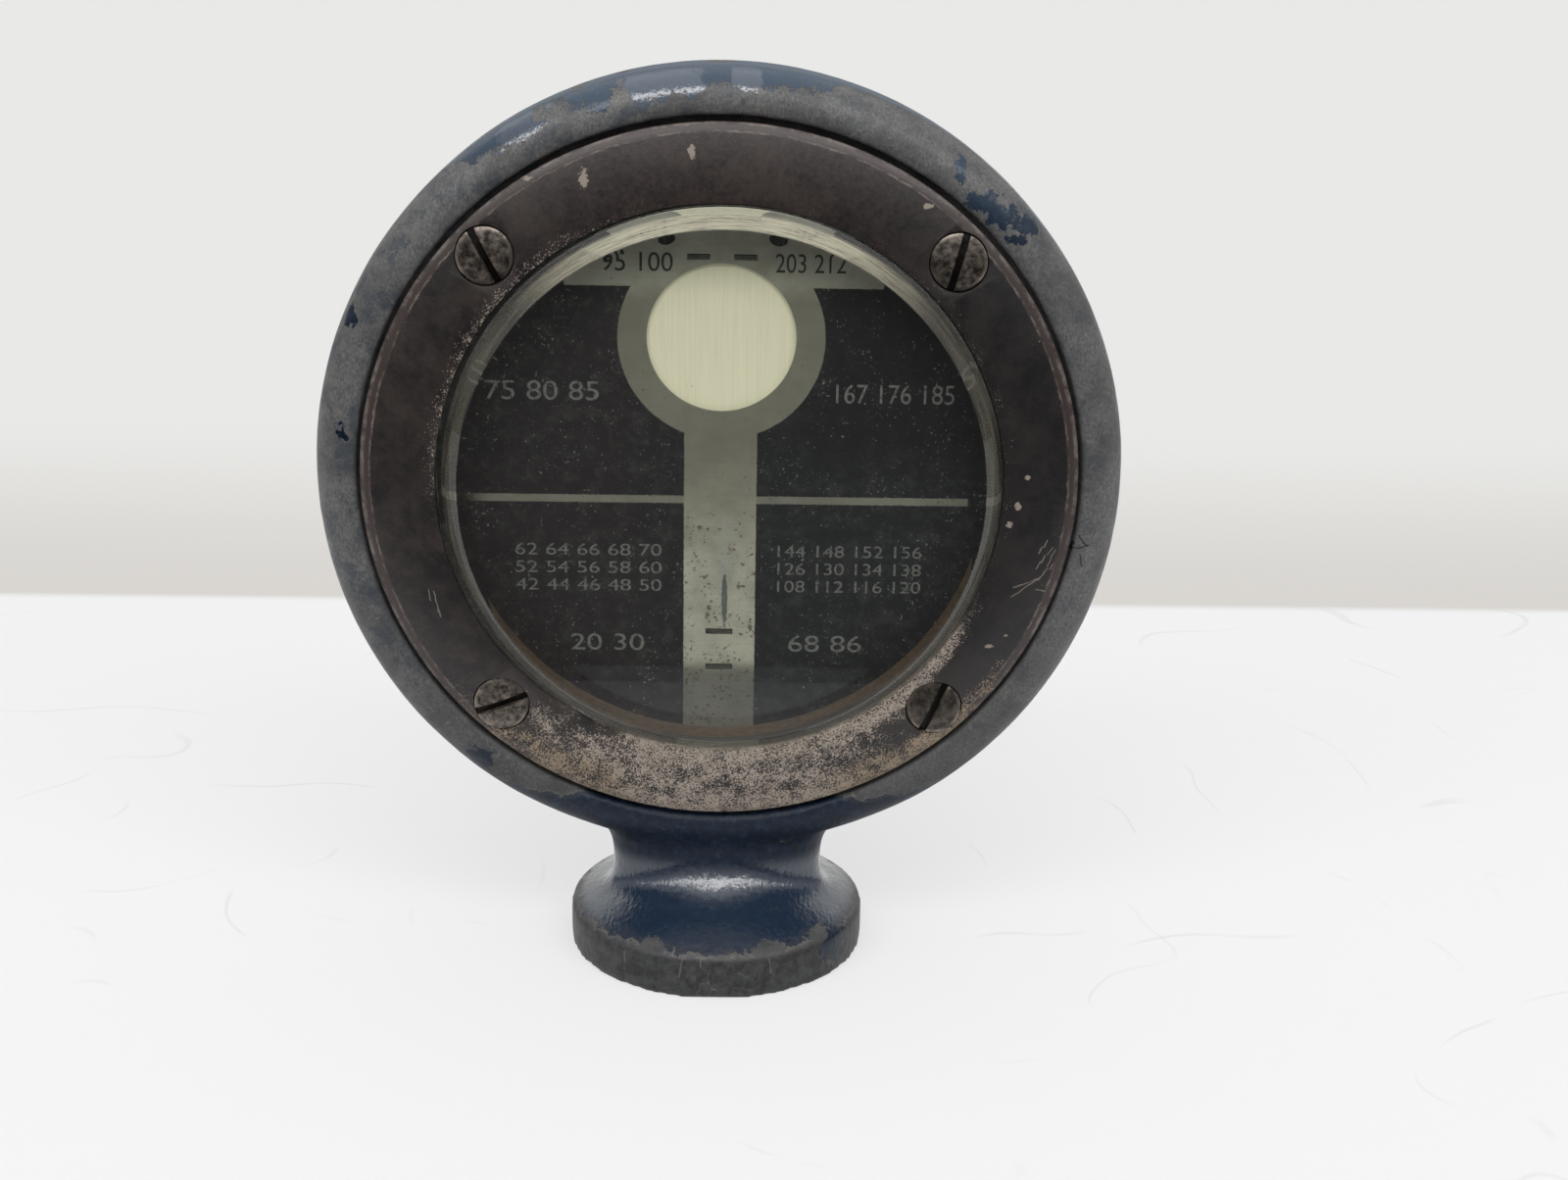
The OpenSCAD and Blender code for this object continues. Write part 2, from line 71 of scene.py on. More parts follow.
def applyModifier(piece, kind, **settings):
    hold(piece)
    modifier = piece.modifiers.new(kind, kind)
    for key, value in settings.items():
        setattr(modifier, key, value)
    bpy.ops.object.modifier_apply(modifier=modifier.name)


def softenEdges(piece, width, degrees):
    applyModifier(piece, "BEVEL", width=width * mm, segments=2, limit_method="ANGLE",
                  angle_limit=math.radians(degrees))


def cutAway(piece, cutter):
    applyModifier(piece, "BOOLEAN", operation="DIFFERENCE", object=cutter)
    bpy.data.objects.remove(cutter)


def cleanMesh(piece, gap=1e-7):
    hold(piece)
    bpy.ops.object.mode_set(mode="EDIT")
    bpy.ops.mesh.select_all(action="SELECT")
    bpy.ops.mesh.remove_doubles(threshold=gap)
    bpy.ops.mesh.normals_make_consistent(inside=False)
    bpy.ops.object.mode_set(mode="OBJECT")


def smoothBy(piece, degrees):
    hold(piece)
    bpy.ops.object.shade_smooth_by_angle(angle=math.radians(degrees))


def turnProfile(name, profile, steps, centre, capped):
    # a circle drawn out loop by loop; profile is (radius, level towards the front) in mm
    clearAll()
    radius, level = profile[0]
    bpy.ops.mesh.primitive_circle_add(
        vertices=steps, radius=radius * mm, fill_type="NGON" if capped else "NOTHING",
        location=(centre[0], -level * mm, centre[1]), rotation=(math.pi / 2, 0, 0))
    piece = bpy.context.object
    piece.name = name
    bpy.ops.object.transform_apply(location=True, rotation=True, scale=True)
    bpy.ops.object.mode_set(mode="EDIT")
    bpy.ops.mesh.select_mode(type="FACE" if capped else "EDGE")
    bpy.ops.mesh.select_all(action="SELECT")
    for (oldR, oldLevel), (newR, newLevel) in zip(profile, profile[1:]):
        bpy.ops.mesh.extrude_region_move(TRANSFORM_OT_translate={"value": (0, (oldLevel - newLevel) * mm, 0)})
        if newR != oldR:
            bpy.ops.transform.resize(value=(newR / oldR, 1, newR / oldR),
                                     center_override=(centre[0], -newLevel * mm, centre[1]))
    bpy.ops.object.mode_set(mode="OBJECT")
    cleanMesh(piece)
    return piece


def dress(piece, finish, body="case"):
    piece.data.materials.clear()
    piece.data.materials.append(finish)
    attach(piece, body)


# camera where the photograph was taken from
view = {"place": (0.0015, -0.2505, 0.1256), "pitch": 18.07, "yaw": -1.37, "roll": 1.05, "lens": 52.07}
clearAll()
bpy.ops.object.camera_add(location=view["place"])
camera = bpy.context.object
camera.name = "frontCamera"
camera.rotation_euler = (Matrix.Rotation(math.radians(view["yaw"]), 4, "Z")
                         @ Matrix.Rotation(math.radians(90 - view["pitch"]), 4, "X")
                         @ Matrix.Rotation(math.radians(view["roll"]), 4, "Z")).to_euler()
camera.data.sensor_width = 36
camera.data.sensor_fit = "HORIZONTAL"
camera.data.lens = view["lens"]
camera.data.clip_start = 0.005
scene.camera = camera
print("camera set")


# shader helpers
def wire(tree, kind, wires=None, **settings):
    node = tree.nodes.new("ShaderNode" + kind)
    for key, value in settings.items():
        setattr(node, key, value)
    for key, value in (wires or {}).items():
        if isinstance(value, bpy.types.NodeSocket):
            tree.links.new(value, node.inputs[key])
        else:
            node.inputs[key].default_value = value
    return node


def calc(tree, operation, a, b=0.0, c=0.0):
    return wire(tree, "Math", {0: a, 1: b, 2: c}, operation=operation).outputs[0]


def times(tree, a, b):
    return calc(tree, "MULTIPLY", a, b)


def timesAdd(tree, a, b, c):
    return calc(tree, "MULTIPLY_ADD", a, b, c)


def minus(tree, a, b):
    return calc(tree, "SUBTRACT", a, b)


def inverse(tree, value):
    return calc(tree, "SUBTRACT", 1.0, value)


def fromAxis(tree, x, up):
    return calc(tree, "SQRT", calc(tree, "ADD", times(tree, x, x), times(tree, up, up)))


def vector(tree, operation, a, b, output="Vector"):
    return wire(tree, "VectorMath", {0: a, 1: b}, operation=operation).outputs[output]


def fade(tree, value, low, high):
    return wire(tree, "MapRange", {"Value": value, "From Min": low, "From Max": high},
                interpolation_type="SMOOTHSTEP").outputs[0]


def noise(tree, place, scale, detail=3.0, rough=0.55, stretch=None):
    if stretch:
        place = wire(tree, "Mapping", {"Vector": place, "Scale": stretch}).outputs[0]
    return wire(tree, "TexNoise", {"Vector": place, "Scale": scale, "Detail": detail,
                                   "Roughness": rough}).outputs["Fac"]


def over(tree, factor, under, top, share=None):
    if share:
        factor = times(tree, factor, share)
    return wire(tree, "Mix", {0: factor, 6: under, 7: top}, data_type="RGBA").outputs[2]


def tint(red, green, blue):
    def straight(v):
        v = v / 255
        return v / 12.92 if v <= 0.04045 else ((v + 0.055) / 1.055) ** 2.4
    return (straight(red), straight(green), straight(blue), 1.0)


def newFinish(name):
    finish = bpy.data.materials.new(name)
    finish.use_nodes = True
    return finish, finish.node_tree, finish.node_tree.nodes["Principled BSDF"]


def dialPlace(tree):
    # millimetres from the dial's axis: X right, Y back, Z up
    coord = wire(tree, "TexCoord").outputs["Object"]
    return wire(tree, "Mapping", {"Vector": coord, "Location": (0, 0, -dialZ / mm),
                                  "Scale": (1000, 1000, 1000)}).outputs[0]


def split(tree, place):
    return wire(tree, "SeparateXYZ", {0: place}).outputs


def newGroup(name, inputs, outputs):
    group = bpy.data.node_groups.new(name, "ShaderNodeTree")
    for label, kind in inputs:
        group.interface.new_socket(label, in_out="INPUT", socket_type="NodeSocket" + kind)
    for label, kind in outputs:
        group.interface.new_socket(label, in_out="OUTPUT", socket_type="NodeSocket" + kind)
    return group, group.nodes.new("NodeGroupInput").outputs, group.nodes.new("NodeGroupOutput").inputs


def useGroup(tree, group, wires):
    return wire(tree, "Group", wires, node_tree=group).outputs


# spots at a given place, with a ragged edge
spotGroup, spotIn, spotOut = newGroup(
    "raggedSpot", [("Place", "Vector"), ("Centre", "Vector"), ("Size", "Vector"), ("Grain", "Float"),
                   ("Ragged", "Float")], [("Mask", "Float")])
offset = vector(spotGroup, "SUBTRACT", spotIn["Place"], spotIn["Centre"])
offset = vector(spotGroup, "DIVIDE", offset, spotIn["Size"])
reach = wire(spotGroup, "VectorMath", {0: offset}, operation="LENGTH").outputs["Value"]
jag = minus(spotGroup, noise(spotGroup, spotIn["Place"], spotIn["Grain"], 4.0, 0.65), 0.5)
reach = timesAdd(spotGroup, jag, spotIn["Ragged"], reach)
spotGroup.links.new(inverse(spotGroup, fade(spotGroup, reach, 0.85, 1.05)), spotOut["Mask"])

# fine specks whose number follows Amount
speckGroup, speckIn, speckOut = newGroup(
    "fineSpecks", [("Place", "Vector"), ("Scale", "Float"), ("Amount", "Float")], [("Mask", "Float")])
grain = noise(speckGroup, speckIn["Place"], speckIn["Scale"], 5.0, 0.7)
cloud = noise(speckGroup, speckIn["Place"], times(speckGroup, speckIn["Scale"], 0.13), 3.0)
grain = timesAdd(speckGroup, cloud, 0.22, grain)
level = minus(speckGroup, 0.90, times(speckGroup, speckIn["Amount"], 0.56))
speckGroup.links.new(fade(speckGroup, minus(speckGroup, grain, level), 0.0, 0.06), speckOut["Mask"])

# one thin scratch between two points
scratchGroup, scratchIn, scratchOut = newGroup(
    "thinScratch", [("Place", "Vector"), ("From", "Vector"), ("Run", "Vector"), ("Width", "Float")],
    [("Mask", "Float")])
wobble = wire(scratchGroup, "TexNoise", {"Vector": scratchIn["Place"], "Scale": 0.9, "Detail": 2.0}).outputs["Color"]
wobble = vector(scratchGroup, "SUBTRACT", wobble, (0.5, 0.5, 0.5))
wobble = wire(scratchGroup, "VectorMath", {0: wobble, "Scale": 0.5}, operation="SCALE").outputs[0]
offset = vector(scratchGroup, "SUBTRACT", scratchIn["Place"], scratchIn["From"])
offset = vector(scratchGroup, "ADD", offset, wobble)
offset = vector(scratchGroup, "MULTIPLY", offset, (1, 0, 1))    # as seen from the front
along = vector(scratchGroup, "DOT_PRODUCT", offset, scratchIn["Run"], "Value")
whole = vector(scratchGroup, "DOT_PRODUCT", scratchIn["Run"], scratchIn["Run"], "Value")
share = wire(scratchGroup, "Clamp", {"Value": calc(scratchGroup, "DIVIDE", along, whole)}).outputs[0]
nearest = wire(scratchGroup, "VectorMath", {0: scratchIn["Run"], "Scale": share}, operation="SCALE").outputs[0]
aside = vector(scratchGroup, "DISTANCE", offset, nearest, "Value")
aside = calc(scratchGroup, "DIVIDE", aside, scratchIn["Width"])
scratchGroup.links.new(inverse(scratchGroup, fade(scratchGroup, aside, 0.4, 1.0)), scratchOut["Mask"])
print("shared effects made")


def spot(tree, place, centre, size, grain=1.2, ragged=0.9):
    return useGroup(tree, spotGroup, {"Place": place, "Centre": centre, "Size": size,
                                      "Grain": grain, "Ragged": ragged})["Mask"]


def specks(tree, place, scale, amount):
    return useGroup(tree, speckGroup, {"Place": place, "Scale": scale, "Amount": amount})["Mask"]


def scratch(tree, place, start, run, width):
    return useGroup(tree, scratchGroup, {"Place": place, "From": start, "Run": run, "Width": width})["Mask"]


def finishBump(tree, shader, height, strength, distance, socket="Normal"):
    bump = wire(tree, "Bump", {"Height": height, "Strength": strength, "Distance": distance * mm})
    tree.links.new(bump.outputs[0], shader.inputs[socket])


# case: navy paint worn to grey metal
casePaint = {
    "navy": tint(15, 26, 41), "navyLight": tint(42, 59, 79), "topSheenTone": tint(72, 88, 106),
    "shoulder": tint(40, 57, 79), "metal": tint(131, 130, 128), "metalDark": tint(80, 80, 81),
    "lowMetal": tint(60, 60, 61), "bluish": tint(54, 63, 74), "stain": tint(40, 41, 42), "scarAndEdgeHighlight": tint(134, 131, 126),
    "bandMetal": tint(66, 67, 68), "bandDark": tint(42, 42, 43), "bandTop": 5.3,
    "jagBase": 2.4, "jagRim": 4.6, "fineBase": 1.2, "fineRim": 2.4, "sharpness": 16.0, "mostPaint": 2.6,
    "coatRough": 0.1, "coatIor": 1.7, "specular": 0.3, "bumpDeep": 0.16,
    "rimArc": (41.15, -2.7),          # middle of the rim's front rounding: radius, Y
    "neckFrom": 46.0,                 # the neck is painted beyond this radius
    # from where to where a change runs, in mm up from the dial's axis
    "rimRise": (-44.0, -20.0), "topRise": (28.0, 40.0), "topSheenRise": (22.0, 42.0), "lowFall": (-6.0, -36.0),
    "shoulderTop": (-46.0, -50.0), "shoulderFoot": (-53.6, -52.6),
    "glossTop": (-46.2, -48.4), "glossFoot": (-53.4, -52.4), "dullTop": (-30.0, -36.0), "dullFoot": (-48.0, -45.5),
    # where the paint starts on the rounding, in degrees from the front, by the angle from the top
    "edge": [(-180, -38), (-164, -36), (-156, 0), (-148, 36), (-138, 72), (-122, 112), (-60, 116), (-46, 104),
             (-41, 84), (-38, 50), (-33, 34), (-28, 32), (-25, 38), (-23.5, 72), (-22, 66), (-20.6, 24), (-17, 20),
             (-15.6, 40), (-14, 62), (-12.6, 24), (-8, 20), (-4, 20), (-2, 32), (-0.6, 48), (0.8, 26), (6, 26),
             (13, 44), (22, 88), (38, 96), (46, 72), (54, 84), (64, 114), (120, 116), (134, 96), (146, 44), (157, 0),
             (166, -36), (180, -38)],
    "edgeRange": (-40, 180),          # what the curve's 0 and 1 stand for
    # start x, up and run x, up of each crack
    "cracks": [(40.4, -5.6, 0.9, -1.2), (39.7, -7.2, 1.9, 0.5), (40.6, -7.8, 0.3, -1.4), (39.9, -6.4, -0.2, -1.0)],
    # paint left on bare metal, and chips out of the paint: middle, size
    "patches": [((-41.6, -5.0, 5.3), (1.0, 2.5, 1.3)), ((-40.5, -5.0, 18.0), (1.0, 2.5, 1.2)),
                ((27.9, -6.4, 31.6), (2.0, 2.6, 1.2)), ((30.2, -6.2, 30.0), (2.2, 2.6, 1.3)),
                ((33.0, -5.6, 29.0), (1.3, 2.6, 1.1)), ((25.4, -5.8, 34.8), (0.7, 2.6, 1.5)),
                ((31.8, -6.2, 27.6), (1.2, 2.6, 0.7)), ((-27.5, -6.0, -33.5), (1.8, 2.0, 1.6)),
                ((13.6, -10.6, -54.6), (1.8, 3.5, 1.9))],
    "chips": [((-6.6, -13.0, -48.2), (1.0, 2.5, 0.7)), ((7.9, -14.5, -51.6), (1.0, 2.0, 0.8)),
              ((8.6, -6.5, -44.6), (1.2, 2.0, 1.3)), ((-7.4, -15.6, -53.0), (1.6, 2.5, 0.9)),
              ((6.4, -16.2, -53.0), (2.2, 2.5, 0.9)), ((12.6, -12.0, -53.0), (1.8, 2.5, 1.2)),
              ((-25.2, 1.0, 37.6), (1.5, 3.0, 1.6)), ((-15.6, 1.5, 42.6), (0.9, 6.0, 1.6)),
              ((-11.0, 3.0, 44.2), (0.9, 3.5, 1.2)), ((-0.4, 1.0, 44.8), (1.7, 2.5, 0.8)),
              ((-19.6, -5.0, 40.2), (0.8, 3.0, 1.3))],
    # start x, up and run x, up of pale scratches on the band
    "bandLines": [(-1.75, -53.5, 0.05, -0.9), (-3.8, -53.6, -0.3, -2.2), (-10.4, -54.2, -0.1, -2.2),
                  (6.2, -53.8, 0.3, -1.8)],
    "stains": [((-9.4, -14.7, -56.0), (1.6, 2.0, 0.9)), ((8.6, -6.5, -44.6), (1.6, 2.0, 1.7))],
    # patches at the top where the paint still shines: middle, size
    "shine": [((-20.6, -5.0, 38.2), (3.6, 8.0, 3.6)), ((-6.4, -5.0, 43.2), (4.6, 8.0, 3.6)),
              ((2.4, -5.0, 43.6), (1.8, 8.0, 3.6))]}


def paintedCase():
    finish, tree, shader = newFinish("wornNavyPaint")
    place = dialPlace(tree)
    x, y, up = split(tree, place)[:3]
    radius = fromAxis(tree, x, up)
    turn = calc(tree, "DIVIDE", calc(tree, "ARCTAN2", x, up), 2 * math.pi)
    turn = calc(tree, "ADD", turn, 0.5)
    edge = wire(tree, "FloatCurve", {"Value": turn})
    curve = edge.mapping.curves[0]
    lowest = casePaint["edgeRange"][0]
    span = casePaint["edgeRange"][1] - lowest
    pairs = [((angle + 180) / 360, (start - lowest) / span) for angle, start in casePaint["edge"]]
    curve.points[0].location, curve.points[1].location = pairs[0], pairs[-1]
    for pair in pairs[1:-1]:
        curve.points.new(*pair)
    edge.mapping.update()
    arcR, arcY = casePaint["rimArc"]
    lean = calc(tree, "ARCTAN2", minus(tree, radius, arcR), timesAdd(tree, y, -1.0, arcY))
    # above 0 the paint holds, below 0 the metal is bare
    field = timesAdd(tree, lean, math.degrees(1) / span, -lowest / span)
    field = times(tree, minus(tree, field, edge.outputs[0]), casePaint["sharpness"])
    neck = times(tree, minus(tree, radius, casePaint["neckFrom"]), 1.6)
    field = calc(tree, "MINIMUM", calc(tree, "MAXIMUM", field, neck), casePaint["mostPaint"])
    band = calc(tree, "ADD", up, dialZ / mm - casePaint["bandTop"])
    field = calc(tree, "MINIMUM", field, times(tree, band, 1.1))
    for centre, size in casePaint["patches"]:
        field = timesAdd(tree, spot(tree, place, centre, size, 1.0, 2.6), 8.0, field)
    coarse = minus(tree, noise(tree, place, 0.4, 6.0, 0.7), 0.5)
    fine = minus(tree, noise(tree, place, 1.5, 4.0, 0.6), 0.5)
    # the edge is more broken on the rim than at the base
    onRim = fade(tree, up, *casePaint["rimRise"])
    jag = timesAdd(tree, onRim, casePaint["jagRim"], casePaint["jagBase"])
    field = timesAdd(tree, coarse, jag, field)
    jag = timesAdd(tree, onRim, casePaint["fineRim"], casePaint["fineBase"])
    field = timesAdd(tree, fine, jag, field)
    for centre, size in casePaint["chips"]:
        field = timesAdd(tree, spot(tree, place, centre, size, 1.6, 1.4), -6.0, field)
    field = timesAdd(tree, specks(tree, place, 1.3, 0.1), -5.0, field)
    paint = fade(tree, field, 0.0, 0.07)
    streak = noise(tree, place, 4.5, 5.0, 0.7, (1.0, 1.0, 0.6))
    mottle = noise(tree, place, 0.22, 5.0, 0.6)
    metal = over(tree, fade(tree, streak, 0.25, 0.8), casePaint["metalDark"], casePaint["metal"])
    metal = over(tree, fade(tree, mottle, 0.45, 0.66), metal, casePaint["metalDark"], 0.7)
    bluish = fade(tree, noise(tree, place, 0.33, 6.0, 0.75), 0.47, 0.62)
    bluish = times(tree, bluish, timesAdd(tree, fade(tree, x, -10.0, 20.0), -0.3, 0.6))
    metal = over(tree, bluish, metal, casePaint["bluish"])
    metal = over(tree, fade(tree, up, *casePaint["lowFall"]), metal, casePaint["lowMetal"], 0.5)
    blotch = fade(tree, noise(tree, place, 0.8, 6.0, 0.75), 0.35, 0.65)
    bandTone = over(tree, blotch, casePaint["bandDark"], casePaint["bandMetal"])
    metal = over(tree, inverse(tree, fade(tree, band, -0.9, 0.2)), metal, bandTone)
    metal = over(tree, specks(tree, place, 1.7, 0.2), metal, casePaint["stain"], 0.6)
    # fine hairlines of wear
    ridge = calc(tree, "ABSOLUTE", minus(tree, noise(tree, place, 0.45, 2.0, 0.5), 0.5))
    hair = times(tree, fade(tree, ridge, 0.008, 0.003), fade(tree, mottle, 0.5, 0.6))
    metal = over(tree, hair, metal, casePaint["scarAndEdgeHighlight"], 0.4)
    for startX, startUp, runX, runUp in casePaint["bandLines"]:
        line = scratch(tree, place, (startX, 0, startUp), (runX, 0, runUp), 0.13)
        metal = over(tree, line, metal, casePaint["scarAndEdgeHighlight"], 0.3)
    for startX, startUp, runX, runUp in casePaint["cracks"]:
        crack = scratch(tree, place, (startX, 0, startUp), (runX, 0, runUp), 0.12)
        metal = over(tree, crack, metal, casePaint["navy"], 0.8)
    for centre, size in casePaint["stains"]:
        metal = over(tree, spot(tree, place, centre, size, 0.9, 1.6), metal, casePaint["stain"], 0.75)
    # a pale line on the metal round the paint's edge: a painted highlight along the edge
    metal = over(tree, fade(tree, field, -0.3, -0.04), metal, casePaint["scarAndEdgeHighlight"], 0.3)
    uneven = fade(tree, noise(tree, place, 0.9, 6.0, 0.75), 0.42, 0.85)
    navy = over(tree, uneven, casePaint["navy"], casePaint["navyLight"])
    # the paint is painted lighter towards the top: a painted sheen of the light from above
    navy = over(tree, fade(tree, up, *casePaint["topSheenRise"]), navy, casePaint["topSheenTone"], 0.75)
    # the paint on the shoulder is painted lighter and bluer: a painted sheen of the light from above
    onShoulderSheen = times(tree, fade(tree, up, *casePaint["shoulderTop"]), fade(tree, up, *casePaint["shoulderFoot"]))
    navy = over(tree, onShoulderSheen, navy, casePaint["shoulder"], 0.45)
    navy = over(tree, inverse(tree, fade(tree, field, 0.1, 0.9)), navy, casePaint["metalDark"], 0.3)
    navy = over(tree, specks(tree, place, 2.2, 0.2), navy, casePaint["scarAndEdgeHighlight"], 0.55)
    tree.links.new(over(tree, paint, metal, navy), shader.inputs["Base Color"])
    bare = inverse(tree, paint)
    tree.links.new(times(tree, bare, 0.15), shader.inputs["Metallic"])
    # the paint keeps its gloss at the top of the front rounding and on the shoulder
    high = fade(tree, up, *casePaint["topRise"])
    dull = fade(tree, lean, 1.05, 1.4)
    shine = 0.1
    for centre, size in casePaint["shine"]:
        shine = calc(tree, "MAXIMUM", shine, spot(tree, place, centre, size, 0.7, 1.0))
    gloss = times(tree, times(tree, high, shine), inverse(tree, dull))
    lowGloss = times(tree, fade(tree, up, *casePaint["glossTop"]), fade(tree, up, *casePaint["glossFoot"]))
    gloss = calc(tree, "ADD", gloss, lowGloss)
    tree.links.new(times(tree, paint, gloss), shader.inputs["Coat Weight"])
    shader.inputs["Coat Roughness"].default_value = casePaint["coatRough"]
    shader.inputs["Coat IOR"].default_value = casePaint["coatIor"]
    rough = timesAdd(tree, bare, 0.26, timesAdd(tree, mottle, 0.16, 0.12))
    rough = timesAdd(tree, times(tree, high, dull), 0.3, rough)
    # and is dull under the bezel and on the neck
    under = times(tree, fade(tree, up, *casePaint["dullTop"]), fade(tree, up, *casePaint["dullFoot"]))
    rough = timesAdd(tree, under, 0.28, rough)
    shader.inputs["Specular IOR Level"].default_value = casePaint["specular"]
    tree.links.new(rough, shader.inputs["Roughness"])
    height = timesAdd(tree, fine, 0.3, timesAdd(tree, coarse, 0.4, paint))
    height = timesAdd(tree, streak, 0.12, height)
    brushed = noise(tree, place, 1.7, 2.0, 0.5, (1.0, 0.4, 0.4))
    finishBump(tree, shader, timesAdd(tree, brushed, 0.5, height), 0.9, casePaint["bumpDeep"])
    # fine upright brush marks break up the shine
    upright = noise(tree, place, 3.2, 3.0, 0.6, (1.0, 0.25, 0.25))
    marks = timesAdd(tree, upright, 0.45, times(tree, brushed, 0.5))
    marks = timesAdd(tree, fine, 0.3, marks)
    finishBump(tree, shader, marks, 0.9, casePaint["bumpDeep"], "Coat Normal")
    return finish


casting = {"grid": 0.5, "smoothPasses": 5, "hollow": (5.8, 20.0), "hollowEase": (1.0, 3.0), "hollowPasses": 40,
           "ripple": 0.07, "rippleSize": 7.0}
shell = bpy.data.objects.new("caseShell", nodes["case_body"].data.copy())
scene.collection.objects.link(shell)
cleanMesh(shell, 1e-6)
applyModifier(shell, "REMESH", mode="VOXEL", voxel_size=casting["grid"] * mm)
applyModifier(shell, "SMOOTH", factor=0.5, iterations=casting["smoothPasses"])
# the hollow between neck and shoulder is rubbed softer than the rest
hollow = shell.vertex_groups.new(name="hollow")
hollowLow, hollowHigh = casting["hollow"]
easeLow, easeHigh = casting["hollowEase"]
for point in shell.data.vertices:
    share = min((point.co.z / mm - hollowLow) / easeLow, (hollowHigh - point.co.z / mm) / easeHigh, 1.0)
    if share > 0:
        hollow.add([point.index], share, "REPLACE")
applyModifier(shell, "SMOOTH", factor=0.5, iterations=casting["hollowPasses"], vertex_group="hollow")
rippleMap = bpy.data.textures.new("handRubbed", "CLOUDS")
rippleMap.noise_scale = casting["rippleSize"] * mm
applyModifier(shell, "DISPLACE", texture=rippleMap, texture_coords="LOCAL", strength=casting["ripple"] * mm,
              mid_level=0.5)
hold(shell)
bpy.ops.object.shade_smooth()
dress(shell, paintedCase())
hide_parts("case_body")
print("case made", len(shell.data.polygons))

# bezel: dark enamel, worn to beige specks along its lower half and edges
bezel = {"outerR": 39.7, "coneR": 38.8, "innerR": 31.35, "boreR": 32.1, "footLevel": 4.706, "edgeLevel": 6.7,
         "coneLevel": 7.2, "faceLevel": 8.5, "lipUnder": 7.5, "softEdge": 0.12, "steps": 160, "spread": 1.006,
         "pocketR": 3.28, "pocketLevel": 5.956, "holeR": 1.95, "holeLevel": 2.0, "cutTo": 12.0,
         "screws": [(-25.518, 25.252), (25.518, 25.252), (-24.712, -26.040), (24.712, -26.040)]}
bezelPaint = {
    "dark": tint(25, 23, 23), "brown": tint(50, 43, 40), "bevel": tint(66, 55, 52), "edge": tint(132, 122, 116),
    "rightShadeTone": tint(21, 21, 23), "beige": tint(188, 174, 160), "golden": tint(158, 138, 106),
    # from where to where a change runs: by radius, by share of the way down, by x, by up
    "bevelBand": (38.5, 38.9), "lineBand": (39.35, 39.6), "innerBand": (31.4, 34.4), "outerBand": (36.6, 38.6),
    "middleIn": (32.8, 34.2), "middleOut": (38.0, 36.6), "goldenBand": (34.8, 37.4),
    "footRun": (0.44, 0.97), "lowRun": (0.25, 0.6), "rightRun": (9.0, 18.0), "leftRun": (-7.0, -15.0),
    "upperLeftX": (-4.0, -22.0), "upperLeftUp": (-8.0, 4.0), "rightShade": (8.0, 34.0), "speckRight": (6.0, 24.0),
    "bezelTopSheenRise": (22.0, 38.0), "mostSpecks": 0.6, "scratchWide": 0.09,
    # middle, size of each bare spot
    "spots": [((-14.8, -8, 33.7), (0.5, 2, 1.0)), ((-3.3, -8, 36.6), (0.4, 2, 0.7)), ((34.1, -8, 1.5), (0.3, 2, 0.32)),
              ((33.2, -8, -1.9), (0.38, 2, 0.45)), ((32.3, -8, -3.9), (0.36, 2, 0.36)),
              ((30.7, -8, -18.5), (0.5, 2, 0.25)), ((-21.0, -8, 33.6), (0.8, 2, 0.4)),
              ((32.6, -8, -17.3), (0.25, 2, 0.2)), ((22.0, -8, 31.2), (0.6, 2, 0.3))],
    # start x, up and run x, up of each scratch
    "scratches": [(35.9, -7.4, 0.35, 0.8), (36.4, -6.6, 0.3, 0.75), (36.9, -7.6, 0.45, 0.8), (36.2, -8.6, 0.4, 0.9),
                  (35.7, -9.2, 0.4, 0.7), (36.9, -8.9, 0.5, 0.9), (37.4, -7.9, 0.3, 0.8), (36.5, -9.9, 0.5, 0.8),
                  (37.2, -9.4, 0.4, 0.6), (36.0, -10.6, 0.5, 0.6), (36.2, -10.3, -3.2, -2.2),
                  (36.1, -10.4, -3.0, -1.0), (35.7, -11.8, 1.1, -0.2), (-32.0, -12.6, 0.7, -3.0),
                  (-32.6, -12.4, 0.2, -1.3)]}


